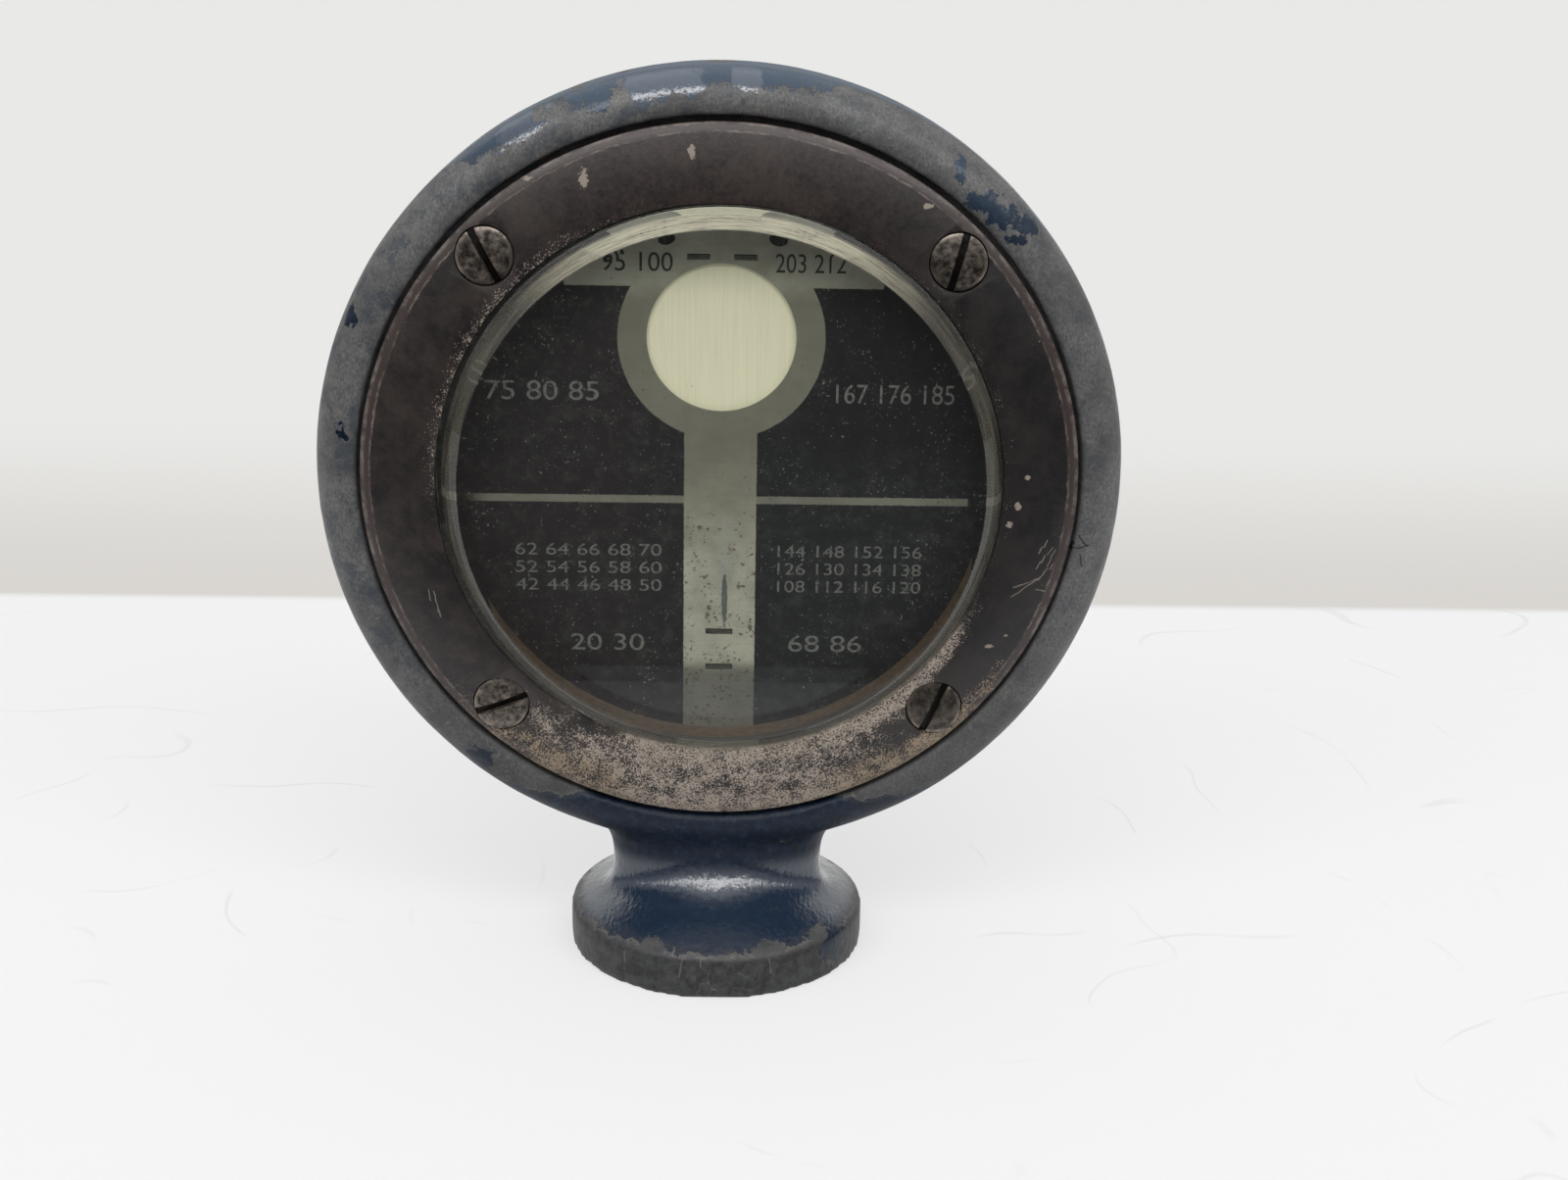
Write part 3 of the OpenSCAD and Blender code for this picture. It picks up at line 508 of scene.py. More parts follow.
def wornEnamel():
    finish, tree, shader = newFinish("wornBezelEnamel")
    place = dialPlace(tree)
    x, y, up = split(tree, place)[:3]
    radius = fromAxis(tree, x, up)
    low = calc(tree, "DIVIDE", times(tree, up, -1.0), radius)
    mottle = noise(tree, place, 0.2, 6.0, 0.65)
    cloudy = noise(tree, place, 0.9, 5.0, 0.7)
    colour = over(tree, fade(tree, mottle, 0.38, 0.66), bezelPaint["dark"], bezelPaint["brown"])
    colour = over(tree, fade(tree, cloudy, 0.45, 0.72), colour, bezelPaint["bevel"], 0.35)
    dusty = fade(tree, noise(tree, place, 2.6, 5.0, 0.75), 0.45, 0.75)
    colour = over(tree, dusty, colour, bezelPaint["bevel"], 0.3)
    # the right side of the bezel is painted darker: painted shade
    colour = over(tree, fade(tree, x, *bezelPaint["rightShade"]), colour, bezelPaint["rightShadeTone"], 0.55)
    # the top of the bezel is painted lighter: a painted sheen of the light from above
    bezelTopSheen = fade(tree, noise(tree, place, 1.6, 5.0, 0.75), 0.3, 0.7)
    bezelTopSheen = times(tree, fade(tree, up, *bezelPaint["bezelTopSheenRise"]), bezelTopSheen)
    colour = over(tree, bezelTopSheen, colour, bezelPaint["bevel"], 0.8)
    ragged = timesAdd(tree, minus(tree, cloudy, 0.5), 0.5, radius)
    colour = over(tree, fade(tree, ragged, *bezelPaint["bevelBand"]), colour, bezelPaint["bevel"], 0.75)
    # a pale line along the bevel's crease and the outer rim: edge wear and a painted highlight
    fromEdge = calc(tree, "ABSOLUTE", minus(tree, ragged, bezel["coneR"]))
    line = inverse(tree, fade(tree, fromEdge, 0.04, 0.16))
    line = calc(tree, "MAXIMUM", line, fade(tree, ragged, *bezelPaint["lineBand"]))
    line = times(tree, line, fade(tree, noise(tree, place, 0.5, 6.0, 0.75), 0.4, 0.68))
    colour = over(tree, line, colour, bezelPaint["edge"], 0.8)
    # beige specks lie thickest at the foot and along both edges
    foot = fade(tree, low, *bezelPaint["footRun"])
    inner = inverse(tree, fade(tree, radius, *bezelPaint["innerBand"]))
    outer = times(tree, fade(tree, radius, *bezelPaint["outerBand"]), fade(tree, mottle, 0.35, 0.6))
    patchy = fade(tree, noise(tree, place, 0.45, 5.0, 0.65), 0.3, 0.7)
    amount = timesAdd(tree, foot, timesAdd(tree, patchy, 0.26, 0.36), 0.08)
    # low on the right the middle of the face stayed dark, low on the left its inner half
    lowRight = times(tree, fade(tree, x, *bezelPaint["rightRun"]), fade(tree, low, *bezelPaint["lowRun"]))
    lowLeft = times(tree, fade(tree, x, *bezelPaint["leftRun"]), fade(tree, low, *bezelPaint["lowRun"]))
    middle = times(tree, fade(tree, radius, *bezelPaint["middleIn"]), fade(tree, radius, *bezelPaint["middleOut"]))
    upperLeft = times(tree, fade(tree, x, *bezelPaint["upperLeftX"]), fade(tree, up, *bezelPaint["upperLeftUp"]))
    atInner = timesAdd(tree, lowLeft, -0.34, timesAdd(tree, upperLeft, 0.24, 0.16))
    amount = timesAdd(tree, inner, timesAdd(tree, lowRight, 0.26, atInner), amount)
    amount = timesAdd(tree, outer, timesAdd(tree, lowRight, 0.16, 0.14), amount)
    amount = timesAdd(tree, times(tree, middle, lowRight), -0.12, amount)
    amount = timesAdd(tree, fade(tree, x, *bezelPaint["speckRight"]), 0.06, amount)
    amount = calc(tree, "MINIMUM", amount, bezelPaint["mostSpecks"])
    worn = specks(tree, place, 5.0, amount)
    worn = times(tree, worn, timesAdd(tree, specks(tree, place, 5.4, 0.3), -0.65, 1.0))
    for centre, size in bezelPaint["spots"]:
        worn = calc(tree, "MAXIMUM", worn, times(tree, spot(tree, place, centre, size, 2.6, 2.6), 0.7))
    for startX, startUp, runX, runUp in bezelPaint["scratches"]:
        line = scratch(tree, place, (startX, 0, startUp), (runX, 0, runUp), bezelPaint["scratchWide"])
        worn = calc(tree, "MAXIMUM", worn, times(tree, line, 0.42))
    golden = times(tree, fade(tree, radius, *bezelPaint["goldenBand"]), calc(tree, "MAXIMUM", lowRight, lowLeft))
    bare = over(tree, golden, bezelPaint["beige"], bezelPaint["golden"], 0.7)
    colour = over(tree, worn, colour, bare, 0.8)
    tree.links.new(colour, shader.inputs["Base Color"])
    tree.links.new(timesAdd(tree, worn, 0.2, timesAdd(tree, mottle, 0.25, 0.28)), shader.inputs["Roughness"])
    fine = noise(tree, place, 3.5, 4.0, 0.6)
    finishBump(tree, shader, timesAdd(tree, fine, 0.6, times(tree, worn, -0.8)), 0.6, 0.06)
    return finish


ring = turnProfile("bezelRing", [(bezel["boreR"], bezel["footLevel"]), (bezel["outerR"], bezel["footLevel"]),
                                 (bezel["outerR"], bezel["edgeLevel"]), (bezel["coneR"], bezel["coneLevel"]),
                                 (bezel["innerR"], bezel["faceLevel"]), (bezel["innerR"], bezel["lipUnder"]),
                                 (bezel["boreR"], bezel["lipUnder"]), (bezel["boreR"], bezel["footLevel"])],
                   bezel["steps"], (0, dialZ), False)
# the ring has spread a little at the sides
hold(ring)
bpy.ops.transform.resize(value=(bezel["spread"], 1, 1), center_override=(0, 0, 0))
bpy.ops.object.transform_apply(location=True, rotation=True, scale=True)
for px, pz in bezel["screws"]:
    for cutR, near in ((bezel["pocketR"], bezel["pocketLevel"]), (bezel["holeR"], bezel["holeLevel"])):
        far = bezel["cutTo"]
        clearAll()
        bpy.ops.mesh.primitive_cylinder_add(vertices=56, radius=cutR * mm, depth=(far - near) * mm,
                                            location=(px * mm, -(near + far) / 2 * mm, dialZ + pz * mm),
                                            rotation=(math.pi / 2, 0, 0))
        cutAway(ring, bpy.context.object)
softenEdges(ring, bezel["softEdge"], 20)
smoothBy(ring, 25)
dress(ring, wornEnamel())
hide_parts("bezel_ring")
print("bezel made", len(ring.data.polygons))

# one cheese-head screw, copied to the four pockets
screw = {"headR": 3.12, "seat": 5.956, "domeEdge": 7.556, "crown": 0.55, "shankR": 1.7, "shankEnd": -2.044,
         "slotLong": 8.0, "slotWide": 0.85, "slotDeep": 1.1, "softEdge": 0.14, "rimWide": 0.35, "steps": 56,
         "turns": [118, 75, 20, 66]}
screwSteel = {"dark": tint(48, 44, 41), "bright": tint(138, 128, 118), "edge": tint(168, 157, 144),
              "pit": tint(24, 21, 20), "metallic": 0.7, "soiledX": (8.0, 16.0), "soiledUp": (-8.0, -16.0),
              "dirtLevel": (-7.3, -7.1)}


def pittedSteel():
    finish, tree, shader = newFinish("pittedScrewSteel")
    place = dialPlace(tree)
    rim = wire(tree, "Attribute", attribute_name="rimWear").outputs["Fac"]
    x, y, up = split(tree, place)[:3]
    mottle = noise(tree, place, 1.2, 5.0, 0.65)
    pits = specks(tree, place, 2.6, 0.26)
    colour = over(tree, fade(tree, mottle, 0.34, 0.74), screwSteel["dark"], screwSteel["bright"])
    colour = over(tree, specks(tree, place, 2.9, 0.24), colour, screwSteel["edge"], 0.6)
    # the lower right head is the dirtiest
    soiled = times(tree, fade(tree, x, *screwSteel["soiledX"]), fade(tree, up, *screwSteel["soiledUp"]))
    colour = over(tree, soiled, colour, screwSteel["dark"], 0.6)
    worn = times(tree, rim, fade(tree, noise(tree, place, 0.7, 4.0, 0.7), 0.36, 0.6))
    colour = over(tree, worn, colour, screwSteel["edge"], 0.8)
    colour = over(tree, pits, colour, screwSteel["pit"], 0.7)
    # dirt lies in the slot and round the head
    deep = fade(tree, y, *screwSteel["dirtLevel"])
    colour = over(tree, deep, colour, screwSteel["pit"], 0.9)
    tree.links.new(colour, shader.inputs["Base Color"])
    shader.inputs["Metallic"].default_value = screwSteel["metallic"]
    tree.links.new(timesAdd(tree, mottle, 0.3, 0.25), shader.inputs["Roughness"])
    height = timesAdd(tree, pits, -1.0, times(tree, mottle, 0.8))
    finishBump(tree, shader, height, 0.7, 0.12)
    return finish


crown = []
domeR = (screw["headR"] ** 2 + screw["crown"] ** 2) / (2 * screw["crown"])
for share in (1.0, 0.85, 0.65, 0.4, 0.12):
    r = screw["headR"] * share
    crown.append((r, screw["domeEdge"] + math.sqrt(domeR ** 2 - r ** 2) - (domeR - screw["crown"])))
shank = [(screw["shankR"] - 0.25, screw["shankEnd"]), (screw["shankR"], screw["shankEnd"] + 0.3),
         (screw["shankR"], screw["seat"]), (screw["headR"], screw["seat"])]
model = turnProfile("screwModel", shank + crown, screw["steps"], (0, 0), True)
clearAll()
bpy.ops.mesh.primitive_cube_add(size=1, location=(0, -(screw["domeEdge"] + screw["crown"]) * mm, 0),
                                scale=(screw["slotLong"] * mm, 2 * screw["slotDeep"] * mm, screw["slotWide"] * mm))
cutAway(model, bpy.context.object)
softenEdges(model, screw["softEdge"], 35)
wear = model.data.attributes.new("rimWear", "FLOAT", "POINT")
for point, value in zip(model.data.vertices, wear.data):
    reachR = math.hypot(point.co.x, point.co.z) / mm
    raised = -point.co.y / mm > screw["domeEdge"] - screw["rimWide"]
    value.value = 1.0 if raised and reachR > screw["headR"] - screw["rimWide"] else 0.0
screwFinish = pittedSteel()
screwBodies = ["screw_upper_left", "screw_upper_right", "screw_lower_left", "screw_lower_right"]
for index, ((px, pz), turn, body) in enumerate(zip(bezel["screws"], screw["turns"], screwBodies)):
    hold(model)
    bpy.ops.object.duplicate(linked=False)
    piece = bpy.context.object
    piece.name = "bezelScrew%d" % (index + 1)
    piece.rotation_euler = (0, -math.radians(turn), 0)
    piece.location = (px * mm, 0, dialZ + pz * mm)
    bpy.ops.object.transform_apply(location=True, rotation=True, scale=True)
    smoothBy(piece, 35)
    dress(piece, screwFinish, body)
    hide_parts("bezel_screw_%d" % (index + 1))
bpy.data.objects.remove(model)
print("screws made")

# front glass with its bevelled edge
glass = {"shift": 0.25, "flangeR": 31.8, "back": 5.9, "flangeTop": 7.5, "edgeR": 31.0, "edgeLevel": 8.5,
         "ridgeR": 30.4, "ridgeLevel": 9.8, "faceR": 29.0, "faceLevel": 11.5, "softEdge": 0.10, "steps": 192,
         "tone": (0.975, 0.985, 0.97, 1), "shadeTone": (0.95, 0.96, 0.94, 1), "ior": 1.5, "dust": tint(214, 208, 182),
         "dustSheenRise": (0.62, 0.97), "grimeDark": tint(42, 34, 27), "grimeLight": tint(86, 84, 68)}


def clearGlass(name, ground=None):
    finish, tree, shader = newFinish(name)
    shader.inputs["Base Color"].default_value = glass["tone"]
    shader.inputs["Transmission Weight"].default_value = 1.0
    shader.inputs["IOR"].default_value = glass["ior"]
    place = dialPlace(tree)
    film = noise(tree, place, 0.25, 4.0, 0.6)
    tree.links.new(times(tree, fade(tree, film, 0.5, 0.9), 0.06), shader.inputs["Roughness"])
    path = wire(tree, "LightPath").outputs
    clear = wire(tree, "BsdfTransparent", {"Color": glass["shadeTone"]})
    bypass = calc(tree, "MAXIMUM", path["Is Shadow Ray"], path["Is Diffuse Ray"])
    body = shader.outputs[0]
    if ground:
        # the bevel is ground, and pale dust lies on it where it faces up; this pale layer at the top is also a painted
        # highlight of the light from above
        x, y, up = split(tree, place)[:3]
        x = minus(tree, x, glass["shift"])
        radius = fromAxis(tree, x, up)
        around = times(tree, calc(tree, "ARCTAN2", x, up), 3.0)
        turned = wire(tree, "CombineXYZ", {0: around, 1: y, 2: radius}).outputs[0]
        grit = noise(tree, turned, 2.6, 5.0, 0.7, (1.0, 1.0, 3.0))
        high = fade(tree, calc(tree, "DIVIDE", up, radius), *glass["dustSheenRise"])
        onBevel = calc(tree, "LESS_THAN", y, -glass["edgeLevel"])
        dusty = timesAdd(tree, high, 0.56, 0.03)
        dusty = times(tree, dusty, fade(tree, radius, glass["ridgeR"] + 0.3, glass["ridgeR"] - 0.1))
        dusty = times(tree, dusty, fade(tree, grit, 0.2, 0.6))
        dusty = times(tree, dusty, fade(tree, radius, glass["faceR"] - 0.05, glass["faceR"] + 0.15))
        dusty = times(tree, dusty, onBevel)
        dust = wire(tree, "BsdfPrincipled", {"Base Color": ground, "Roughness": 0.5})
        # brown grime in streaks lies on the rest of the bevel
        streaks = noise(tree, turned, 1.4, 5.0, 0.6, (1.0, 0.2, 1.6))
        grime = times(tree, fade(tree, radius, glass["faceR"], glass["faceR"] + 0.25), onBevel)
        grime = times(tree, grime, inverse(tree, high))
        grime = times(tree, grime, timesAdd(tree, fade(tree, streaks, 0.3, 0.6), 0.25, 0.35))
        grimeTone = over(tree, fade(tree, streaks, 0.35, 0.65), glass["grimeDark"], glass["grimeLight"])
        dirt = wire(tree, "BsdfPrincipled", {"Base Color": grimeTone, "Roughness": 0.45})
        body = wire(tree, "MixShader", {0: grime, 1: body, 2: dirt.outputs[0]}).outputs[0]
        body = wire(tree, "MixShader", {0: dusty, 1: body, 2: dust.outputs[0]}).outputs[0]
    mix = wire(tree, "MixShader", {0: bypass, 1: body, 2: clear.outputs[0]})
    tree.links.new(mix.outputs[0], tree.nodes["Material Output"].inputs["Surface"])
    return finish


pane = turnProfile("frontGlassPane", [(glass["faceR"], glass["back"]), (glass["flangeR"], glass["back"]),
                                      (glass["flangeR"], glass["flangeTop"]), (glass["edgeR"], glass["flangeTop"]),
                                      (glass["edgeR"], glass["edgeLevel"]), (glass["ridgeR"], glass["ridgeLevel"]),
                                      (glass["faceR"], glass["faceLevel"]),
                                      (glass["faceR"] - 0.5, glass["faceLevel"])],
                   glass["steps"], (glass["shift"] * mm, dialZ), True)
softenEdges(pane, glass["softEdge"], 12)
smoothBy(pane, 20)
glassFinish = clearGlass("bevelledGlass", glass["dust"])
dress(pane, glassFinish)
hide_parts("front_glass")
print("glass made")

# dial plate: brushed bare metal with printed black panels
dial = {"face": 1.85, "panelTop": 21.5, "windowUp": 15.8, "ringR": 11.5, "channel": 4.08, "ruleUp": -2.7,
        "ruleHalf": 0.44, "ruleFrom": -29.4, "ruleTo": 28.2, "printSoft": 0.06}
dialPaint = {"bare": tint(196, 194, 178), "bareDark": tint(150, 149, 136), "lowBare": tint(66, 67, 63),
             "upperShadeTone": tint(110, 108, 95), "stain": tint(44, 50, 60), "pale": tint(166, 168, 163),
             "brown": tint(80, 68, 50), "black": tint(19, 20, 23), "deep": tint(8, 8, 10), "warm": tint(30, 22, 23),
             "dust": tint(152, 152, 150),
             # from where to where a change runs, by up or by x
             "upperShadeRise": (-14.0, 4.0), "upperShadeTop": (19.5, 22.0), "lowFall": (-21.4, -23.6),
             "dirtFall": (2.0, -9.0), "upperRightX": (2.0, 14.0), "upperRightUp": (-2.0, 6.0), "warmX": (2.0, -12.0)}


def printEdge(tree, value, level):
    return fade(tree, value, level - dial["printSoft"], level + dial["printSoft"])


def printedDial():
    finish, tree, shader = newFinish("printedDialPlate")
    place = dialPlace(tree)
    x, y, up = split(tree, place)[:3]
    brush = noise(tree, place, 3.0, 4.0, 0.6, (0.08, 1.0, 3.0))
    uneven = fade(tree, noise(tree, place, 0.3, 4.0, 0.6), 0.1, 0.8)
    bare = over(tree, uneven, dialPaint["bareDark"], dialPaint["bare"])
    bare = over(tree, fade(tree, brush, 0.4, 0.7), bare, dialPaint["bareDark"], 0.25)
    # the bare metal is painted darker from the middle up, a little less at the very top: painted shade under the bezel
    upperShade = times(tree, fade(tree, up, *dialPaint["upperShadeRise"]), 0.75)
    lessShadeAtTop = timesAdd(tree, fade(tree, up, *dialPaint["upperShadeTop"]), -0.55, 1.0)
    bare = over(tree, times(tree, upperShade, lessShadeAtTop), bare, dialPaint["upperShadeTone"])
    bare = over(tree, fade(tree, up, *dialPaint["lowFall"]), bare, dialPaint["lowBare"], 0.72)
    dirty = timesAdd(tree, fade(tree, up, *dialPaint["dirtFall"]), 0.16, 0.13)
    dirty = timesAdd(tree, fade(tree, noise(tree, place, 0.5, 3.0, 0.6), 0.4, 0.65), 0.14, dirty)
    bare = over(tree, specks(tree, place, 2.0, dirty), bare, dialPaint["brown"], 0.8)
    ragged = timesAdd(tree, noise(tree, place, 3.0, 3.0), 0.16, -0.08)
    fromWindow = fromAxis(tree, x, minus(tree, up, dial["windowUp"]))
    ringOut = printEdge(tree, calc(tree, "ADD", fromWindow, ragged), dial["ringR"])
    side = printEdge(tree, calc(tree, "ADD", calc(tree, "ABSOLUTE", x), ragged), dial["channel"])
    inChannel = times(tree, inverse(tree, side), calc(tree, "LESS_THAN", up, dial["windowUp"]))
    below = inverse(tree, printEdge(tree, calc(tree, "ADD", up, ragged), dial["panelTop"]))
    rule = calc(tree, "ABSOLUTE", minus(tree, up, dial["ruleUp"]))
    rule = inverse(tree, printEdge(tree, calc(tree, "ADD", rule, ragged), dial["ruleHalf"]))
    rule = times(tree, rule, fade(tree, x, dial["ruleFrom"], dial["ruleFrom"] + 4.0))
    rule = times(tree, rule, fade(tree, x, dial["ruleTo"], dial["ruleTo"] - 0.4))
    panel = times(tree, times(tree, ringOut, below), inverse(tree, inChannel))
    panel = times(tree, panel, inverse(tree, times(tree, rule, 0.68)))
    panel = times(tree, panel, inverse(tree, specks(tree, place, 3.0, 0.04)))
    stainAt = spot(tree, place, (0.6, -1.8, -14.5), (0.34, 1.0, 3.3), 1.6, 1.2)
    halo = spot(tree, place, (0.5, -1.8, -11.5), (0.6, 1.0, 7.5), 1.0, 0.9)
    bare = over(tree, halo, bare, dialPaint["pale"], 0.35)
    bare = over(tree, stainAt, bare, dialPaint["stain"], 0.7)
    haze = times(tree, fade(tree, noise(tree, place, 0.5, 6.0, 0.75), 0.42, 0.8), 0.1)
    # the upper right panel is darker, with less haze
    upperRight = times(tree, fade(tree, x, *dialPaint["upperRightX"]), fade(tree, up, *dialPaint["upperRightUp"]))
    haze = times(tree, haze, timesAdd(tree, upperRight, -0.7, 1.0))
    black = over(tree, upperRight, dialPaint["black"], dialPaint["deep"])
    black = over(tree, fade(tree, x, *dialPaint["warmX"]), black, dialPaint["warm"], 0.6)
    black = over(tree, haze, black, dialPaint["dust"])
    black = over(tree, specks(tree, place, 2.6, 0.3), black, dialPaint["dust"], 0.6)
    black = over(tree, specks(tree, place, 1.7, 0.18), black, dialPaint["dust"], 0.7)
    tree.links.new(over(tree, panel, bare, black), shader.inputs["Base Color"])
    tree.links.new(times(tree, inverse(tree, panel), 0.35), shader.inputs["Metallic"])
    tree.links.new(timesAdd(tree, brush, 0.2, 0.42), shader.inputs["Roughness"])
    finishBump(tree, shader, timesAdd(tree, brush, 0.5, panel), 0.3, 0.03)
    return finish


dialFinish = printedDial()

# plain numbers printed on the dial: text, middle x, middle up, width, height in mm
figures = {"dark": [("95 100", -9.3, 24.2, 7.8, 2.1), ("203 212", 9.7, 24.2, 7.7, 2.1)],
           "light": [("75 80 85", -19.9, 9.7, 12.6, 2.2), ("167 176 185", 19.4, 9.7, 13.2, 2.2),
                     ("20 30", -12.8, -19.8, 8.4, 2.0), ("68 86", 12.2, -19.8, 8.4, 2.0),
                     ("62 64 66 68 70", -14.9, -8.7, 16.6, 1.4), ("52 54 56 58 60", -14.9, -10.8, 16.6, 1.4),
                     ("42 44 46 48 50", -14.9, -12.9, 16.6, 1.4), ("144 148 152 156", 14.8, -8.7, 16.4, 1.4),
                     ("126 130 134 138", 14.8, -10.8, 16.4, 1.4), ("108 112 116 120", 14.8, -12.9, 16.4, 1.4)],
           "proud": 0.02}


def printInk(name, ink, worn):
    finish, tree, shader = newFinish(name)
    place = dialPlace(tree)
    faint = fade(tree, noise(tree, place, 2.2, 4.0, 0.7), 0.42, 0.72)
    tree.links.new(over(tree, faint, ink, worn), shader.inputs["Base Color"])
    tree.links.new(timesAdd(tree, faint, 0.2, 0.5), shader.inputs["Roughness"])
    return finish


inkFinish = {"dark": printInk("darkFigureInk", tint(30, 30, 26), tint(58, 57, 48)),
             "light": printInk("paleFigureInk", tint(116, 116, 112), tint(60, 60, 58))}
for tone in ("dark", "light"):
    for index, (words, middleX, middleUp, wide, high) in enumerate(figures[tone]):
        clearAll()
        bpy.ops.object.text_add(rotation=(math.pi / 2, 0, 0))
        piece = bpy.context.object
        piece.data.body = words
        piece.data.align_x = "CENTER"
        piece.data.align_y = "CENTER"
        bpy.ops.object.convert(target="MESH")
        piece = bpy.context.object
        piece.name = "%sFigures%d" % (tone, index + 1)
        xs = [v.co.x for v in piece.data.vertices]
        ys = [v.co.y for v in piece.data.vertices]
        piece.scale = (wide * mm / (max(xs) - min(xs)), high * mm / (max(ys) - min(ys)), 1)
        midX = (max(xs) + min(xs)) / 2 * piece.scale.x
        midY = (max(ys) + min(ys)) / 2 * piece.scale.y
        piece.location = (middleX * mm - midX, -(dial["face"] + figures["proud"]) * mm,
                          dialZ + middleUp * mm - midY)
        bpy.ops.object.transform_apply(location=True, rotation=True, scale=True)
        dress(piece, inkFinish[tone])
print("figures made")

# finishes of the pieces that keep their CAD shape, by slot:
# name, tones, roughness, metallic, stretch and scale of the grain, depth of its bump
smallParts = {
    "spacer_card": ("brownSpacerCard", (tint(86, 70, 54), tint(62, 50, 39), tint(108, 114, 100)), 0.6, 0.0,
                    (1, 1, 1), 1.2, 0.06),
    "gasket": ("oldGasketRubber", (tint(34, 33, 32), tint(56, 54, 51)), 0.6, 0.0, (1, 1, 1), 1.6, 0.05),
    "cream_disc": ("creamDiscEnamel", (tint(248, 243, 214), tint(240, 235, 206), tint(150, 142, 116)), 0.35, 0.0,
                   (3.0, 1, 0.06), 1.6, 0.01),
    "rivet_metal": ("darkRivet", (tint(44, 42, 40), tint(80, 76, 70)), 0.4, 0.6, (1, 1, 1), 2.0, 0.03),
    "spacer_metal": ("dullSpacerMetal", (tint(120, 120, 116), tint(84, 84, 82)), 0.4, 0.7, (1, 1, 0.2), 1.4, 0.03),
    "clip_steel": ("springClip", (tint(84, 83, 78), tint(58, 57, 54)), 0.45, 0.3, (1, 1, 1), 1.6, 0.03),
    "red_spirit": ("redSpirit", (tint(150, 24, 22), tint(110, 14, 14)), 0.2, 0.0, (1, 1, 0.3), 1.0, 0.0),
    "bush_packing": ("packingCord", (tint(126, 112, 90), tint(84, 72, 56)), 0.7, 0.0, (1, 1, 4.0), 1.2, 0.1)}


def plainFinish(name, colours, rough, metallic, stretch, scale, bump):
    finish, tree, shader = newFinish(name)
    place = dialPlace(tree)
    grain = noise(tree, place, scale, 5.0, 0.65, stretch)
    colour = over(tree, fade(tree, grain, 0.35, 0.7), colours[0], colours[1])
    colour = over(tree, specks(tree, place, 2.2, 0.2), colour, colours[-1], 0.5)
    tree.links.new(colour, shader.inputs["Base Color"])
    shader.inputs["Metallic"].default_value = metallic
    tree.links.new(timesAdd(tree, grain, 0.2, rough), shader.inputs["Roughness"])
    finishBump(tree, shader, grain, 0.4, bump)
    return finish


slotFinish = {slot: plainFinish(*settings) for slot, settings in smallParts.items()}
slotFinish.update(window_glass=glassFinish, dial_plate=dialFinish, tube_glass=clearGlass("tubeGlass"))
for part in frame["record"]["subparts"]:
    if part["material_slot"] in slotFinish:
        nodes[part["node"]].data.materials.clear()
        nodes[part["node"]].data.materials.append(slotFinish[part["material_slot"]])
print("finishes set")

# pale table, pale wall far behind, soft light from above
stage = {"drop": 0.00004, "front": -0.11, "side": 1.3, "back": 0.75, "wall": 1.3, "tableEnd": 0.127,
         "wallClear": 0.26, "lampAim": (0, 0, 0.05), "rough": 0.7, "specular": 0.2,
         "table": tint(244, 244, 245), "wallTone": tint(233, 233, 231), "wallFootShade": tint(217, 214, 210),
         "scratch": tint(205, 204, 202), "nearFade": (-0.115, -0.06), "nearTone": tint(130, 131, 134),
         "evenShare": 0.65}


def paleTable():
    finish, tree, shader = newFinish("paleTable")
    coord = wire(tree, "TexCoord").outputs["Object"]
    y = split(tree, coord)["Y"]
    far = fade(tree, y, stage["tableEnd"] - 0.002, stage["tableEnd"] + 0.002)
    table = stage["table"]
    for lines, patch in ((14.0, 26.0), (23.0, 41.0), (37.0, 33.0)):
        ridge = calc(tree, "ABSOLUTE", minus(tree, noise(tree, coord, lines, 1.0, 0.4), 0.5))
        hair = inverse(tree, fade(tree, ridge, 0.0008 * lines / 14, 0.003 * lines / 14))
        hair = times(tree, hair, fade(tree, noise(tree, coord, patch, 2.0, 0.5), 0.56, 0.66))
        table = over(tree, hair, table, stage["scratch"], 0.25)
    # the glass shows the front of the table in half light
    path = wire(tree, "LightPath").outputs
    lit = calc(tree, "MAXIMUM", fade(tree, y, *stage["nearFade"]), path["Is Camera Ray"])
    table = over(tree, lit, stage["nearTone"], table)
    tree.links.new(over(tree, far, table, stage["wallTone"]), shader.inputs["Base Color"])
    shader.inputs["Roughness"].default_value = stage["rough"]
    shader.inputs["Specular IOR Level"].default_value = stage["specular"]
    # the wall shows as a pale tone, painted darker at its foot as painted shade in the corner, and most of the table's
    # tone is even, so that shadows stay soft
    wall = over(tree, fade(tree, y, stage["tableEnd"], stage["wallClear"]), stage["wallFootShade"], stage["wallTone"])
    glow = wire(tree, "Emission", {"Color": over(tree, far, table, wall)})
    seen = calc(tree, "MAXIMUM", path["Is Camera Ray"], calc(tree, "MAXIMUM", path["Is Glossy Ray"],
                                                             path["Is Transmission Ray"]))
    even = calc(tree, "MAXIMUM", far, stage["evenShare"])
    mix = wire(tree, "MixShader", {0: times(tree, even, seen), 1: shader.outputs[0], 2: glow.outputs[0]})
    tree.links.new(mix.outputs[0], tree.nodes["Material Output"].inputs["Surface"])
    return finish


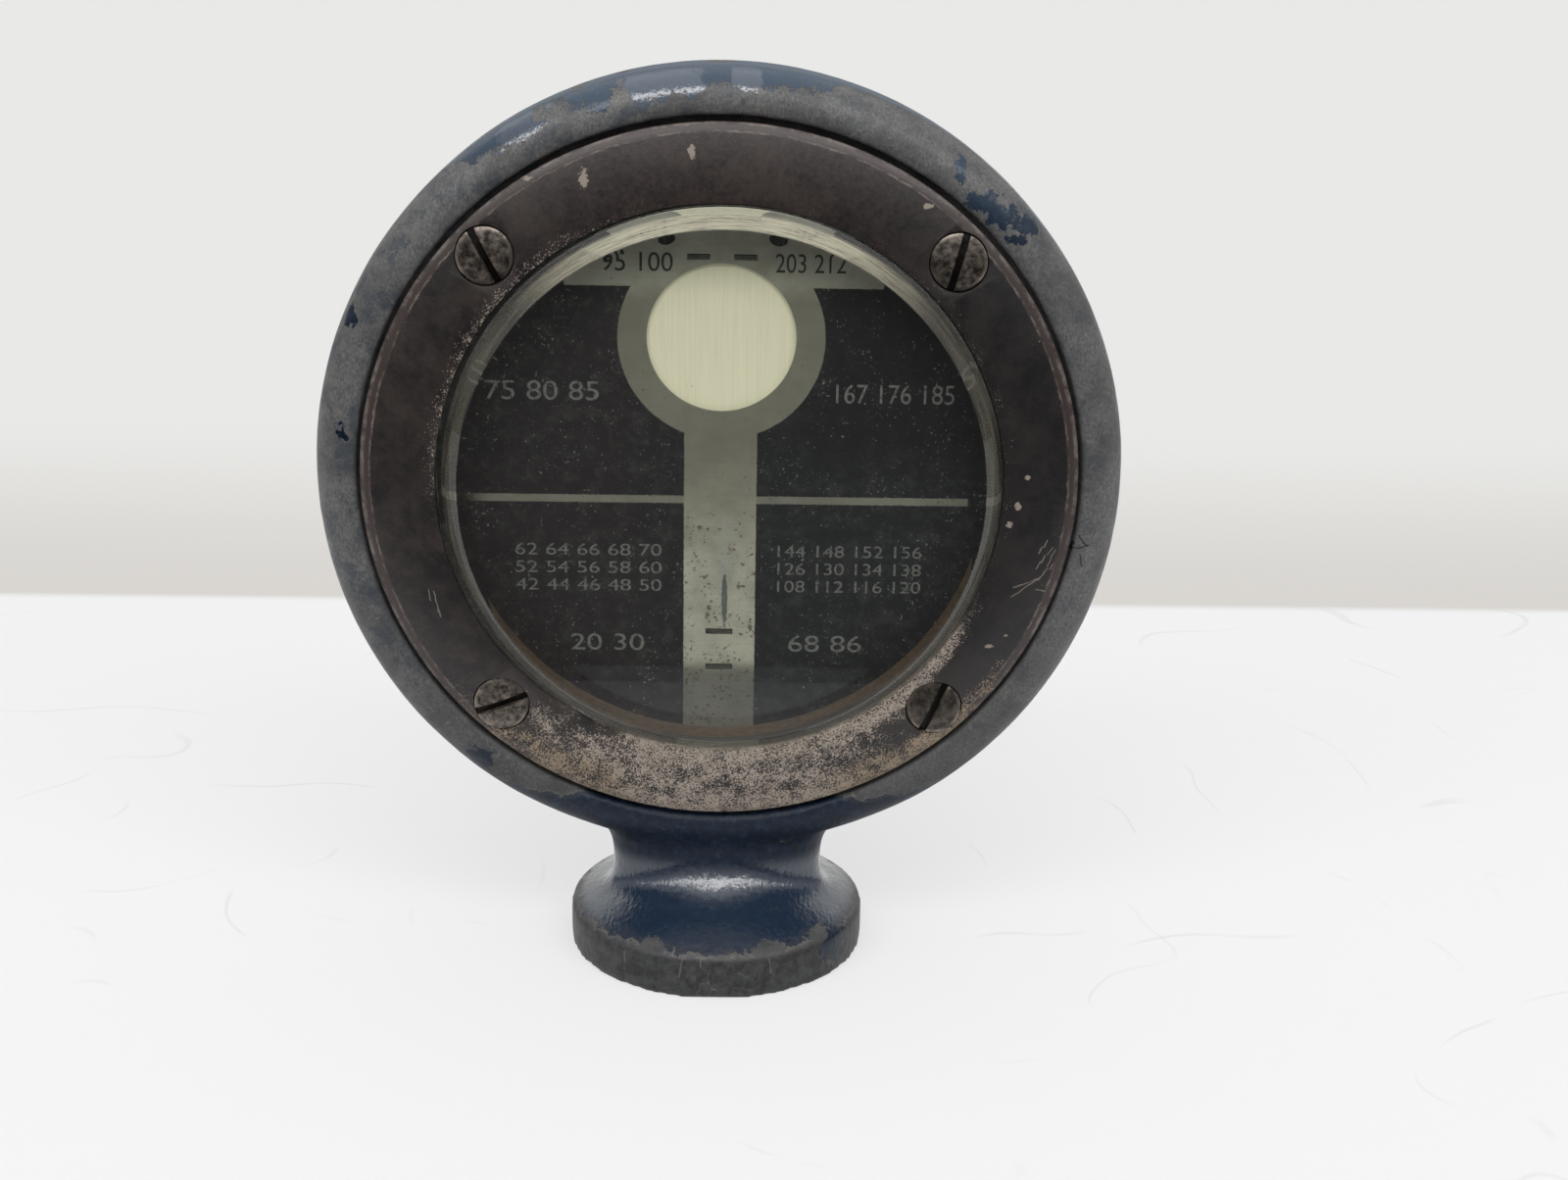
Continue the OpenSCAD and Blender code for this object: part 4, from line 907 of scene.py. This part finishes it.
clearAll()
bpy.ops.mesh.primitive_plane_add(size=1, location=(0, 0, 0))
floor = bpy.context.object
floor.name = "tableAndWall"
floor.scale = (2 * stage["side"], stage["back"] - stage["front"], 1)
floor.location = (0, (stage["back"] + stage["front"]) / 2, -stage["drop"])
bpy.ops.object.transform_apply(location=True, rotation=True, scale=True)
bpy.ops.object.mode_set(mode="EDIT")
bpy.ops.mesh.select_mode(type="EDGE")
bpy.ops.mesh.select_all(action="DESELECT")
floorMesh = bmesh.from_edit_mesh(floor.data)
for e in floorMesh.edges:
    e.select_set(all(v.co.y > stage["back"] - 0.01 for v in e.verts))
bmesh.update_edit_mesh(floor.data)
bpy.ops.mesh.extrude_region_move(TRANSFORM_OT_translate={"value": (0, 0.15, 0.06)})
bpy.ops.mesh.extrude_region_move(TRANSFORM_OT_translate={"value": (0, 0.06, 0.15)})
bpy.ops.mesh.extrude_region_move(TRANSFORM_OT_translate={"value": (0, 0, stage["wall"])})
bpy.ops.object.mode_set(mode="OBJECT")
floor.data.materials.append(paleTable())

lamps = {"overhead": {"place": (0.0, 0.05, 1.0), "size": (1.0, 1.0), "power": 1.5},
         "front": {"place": (0.0, -0.66, 0.85), "size": (1.9, 0.25), "power": 9.0}}
for name, lamp in lamps.items():
    clearAll()
    bpy.ops.object.light_add(type="AREA", location=lamp["place"])
    light = bpy.context.object
    light.name = name + "Lamp"
    light.data.shape = "RECTANGLE"
    light.data.size, light.data.size_y = lamp["size"]
    light.data.energy = lamp["power"]
    aim = Vector(stage["lampAim"]) - Vector(lamp["place"])
    light.rotation_euler = aim.to_track_quat("-Z", "Y").to_euler()

room = {"sky": 0.54, "below": 0.03}
world = bpy.data.worlds.new("softRoom")
scene.world = world
world.use_nodes = True
tree = world.node_tree
path = wire(tree, "LightPath").outputs
direction = split(tree, wire(tree, "TexCoord").outputs["Generated"])
rise = fade(tree, direction[2], -0.03, 0.35)
roomLight = timesAdd(tree, rise, room["sky"] - room["below"], room["below"])
seen = over(tree, path["Is Camera Ray"], roomLight, stage["wallTone"])
tree.links.new(seen, tree.nodes["Background"].inputs["Color"])
print("stage lit")
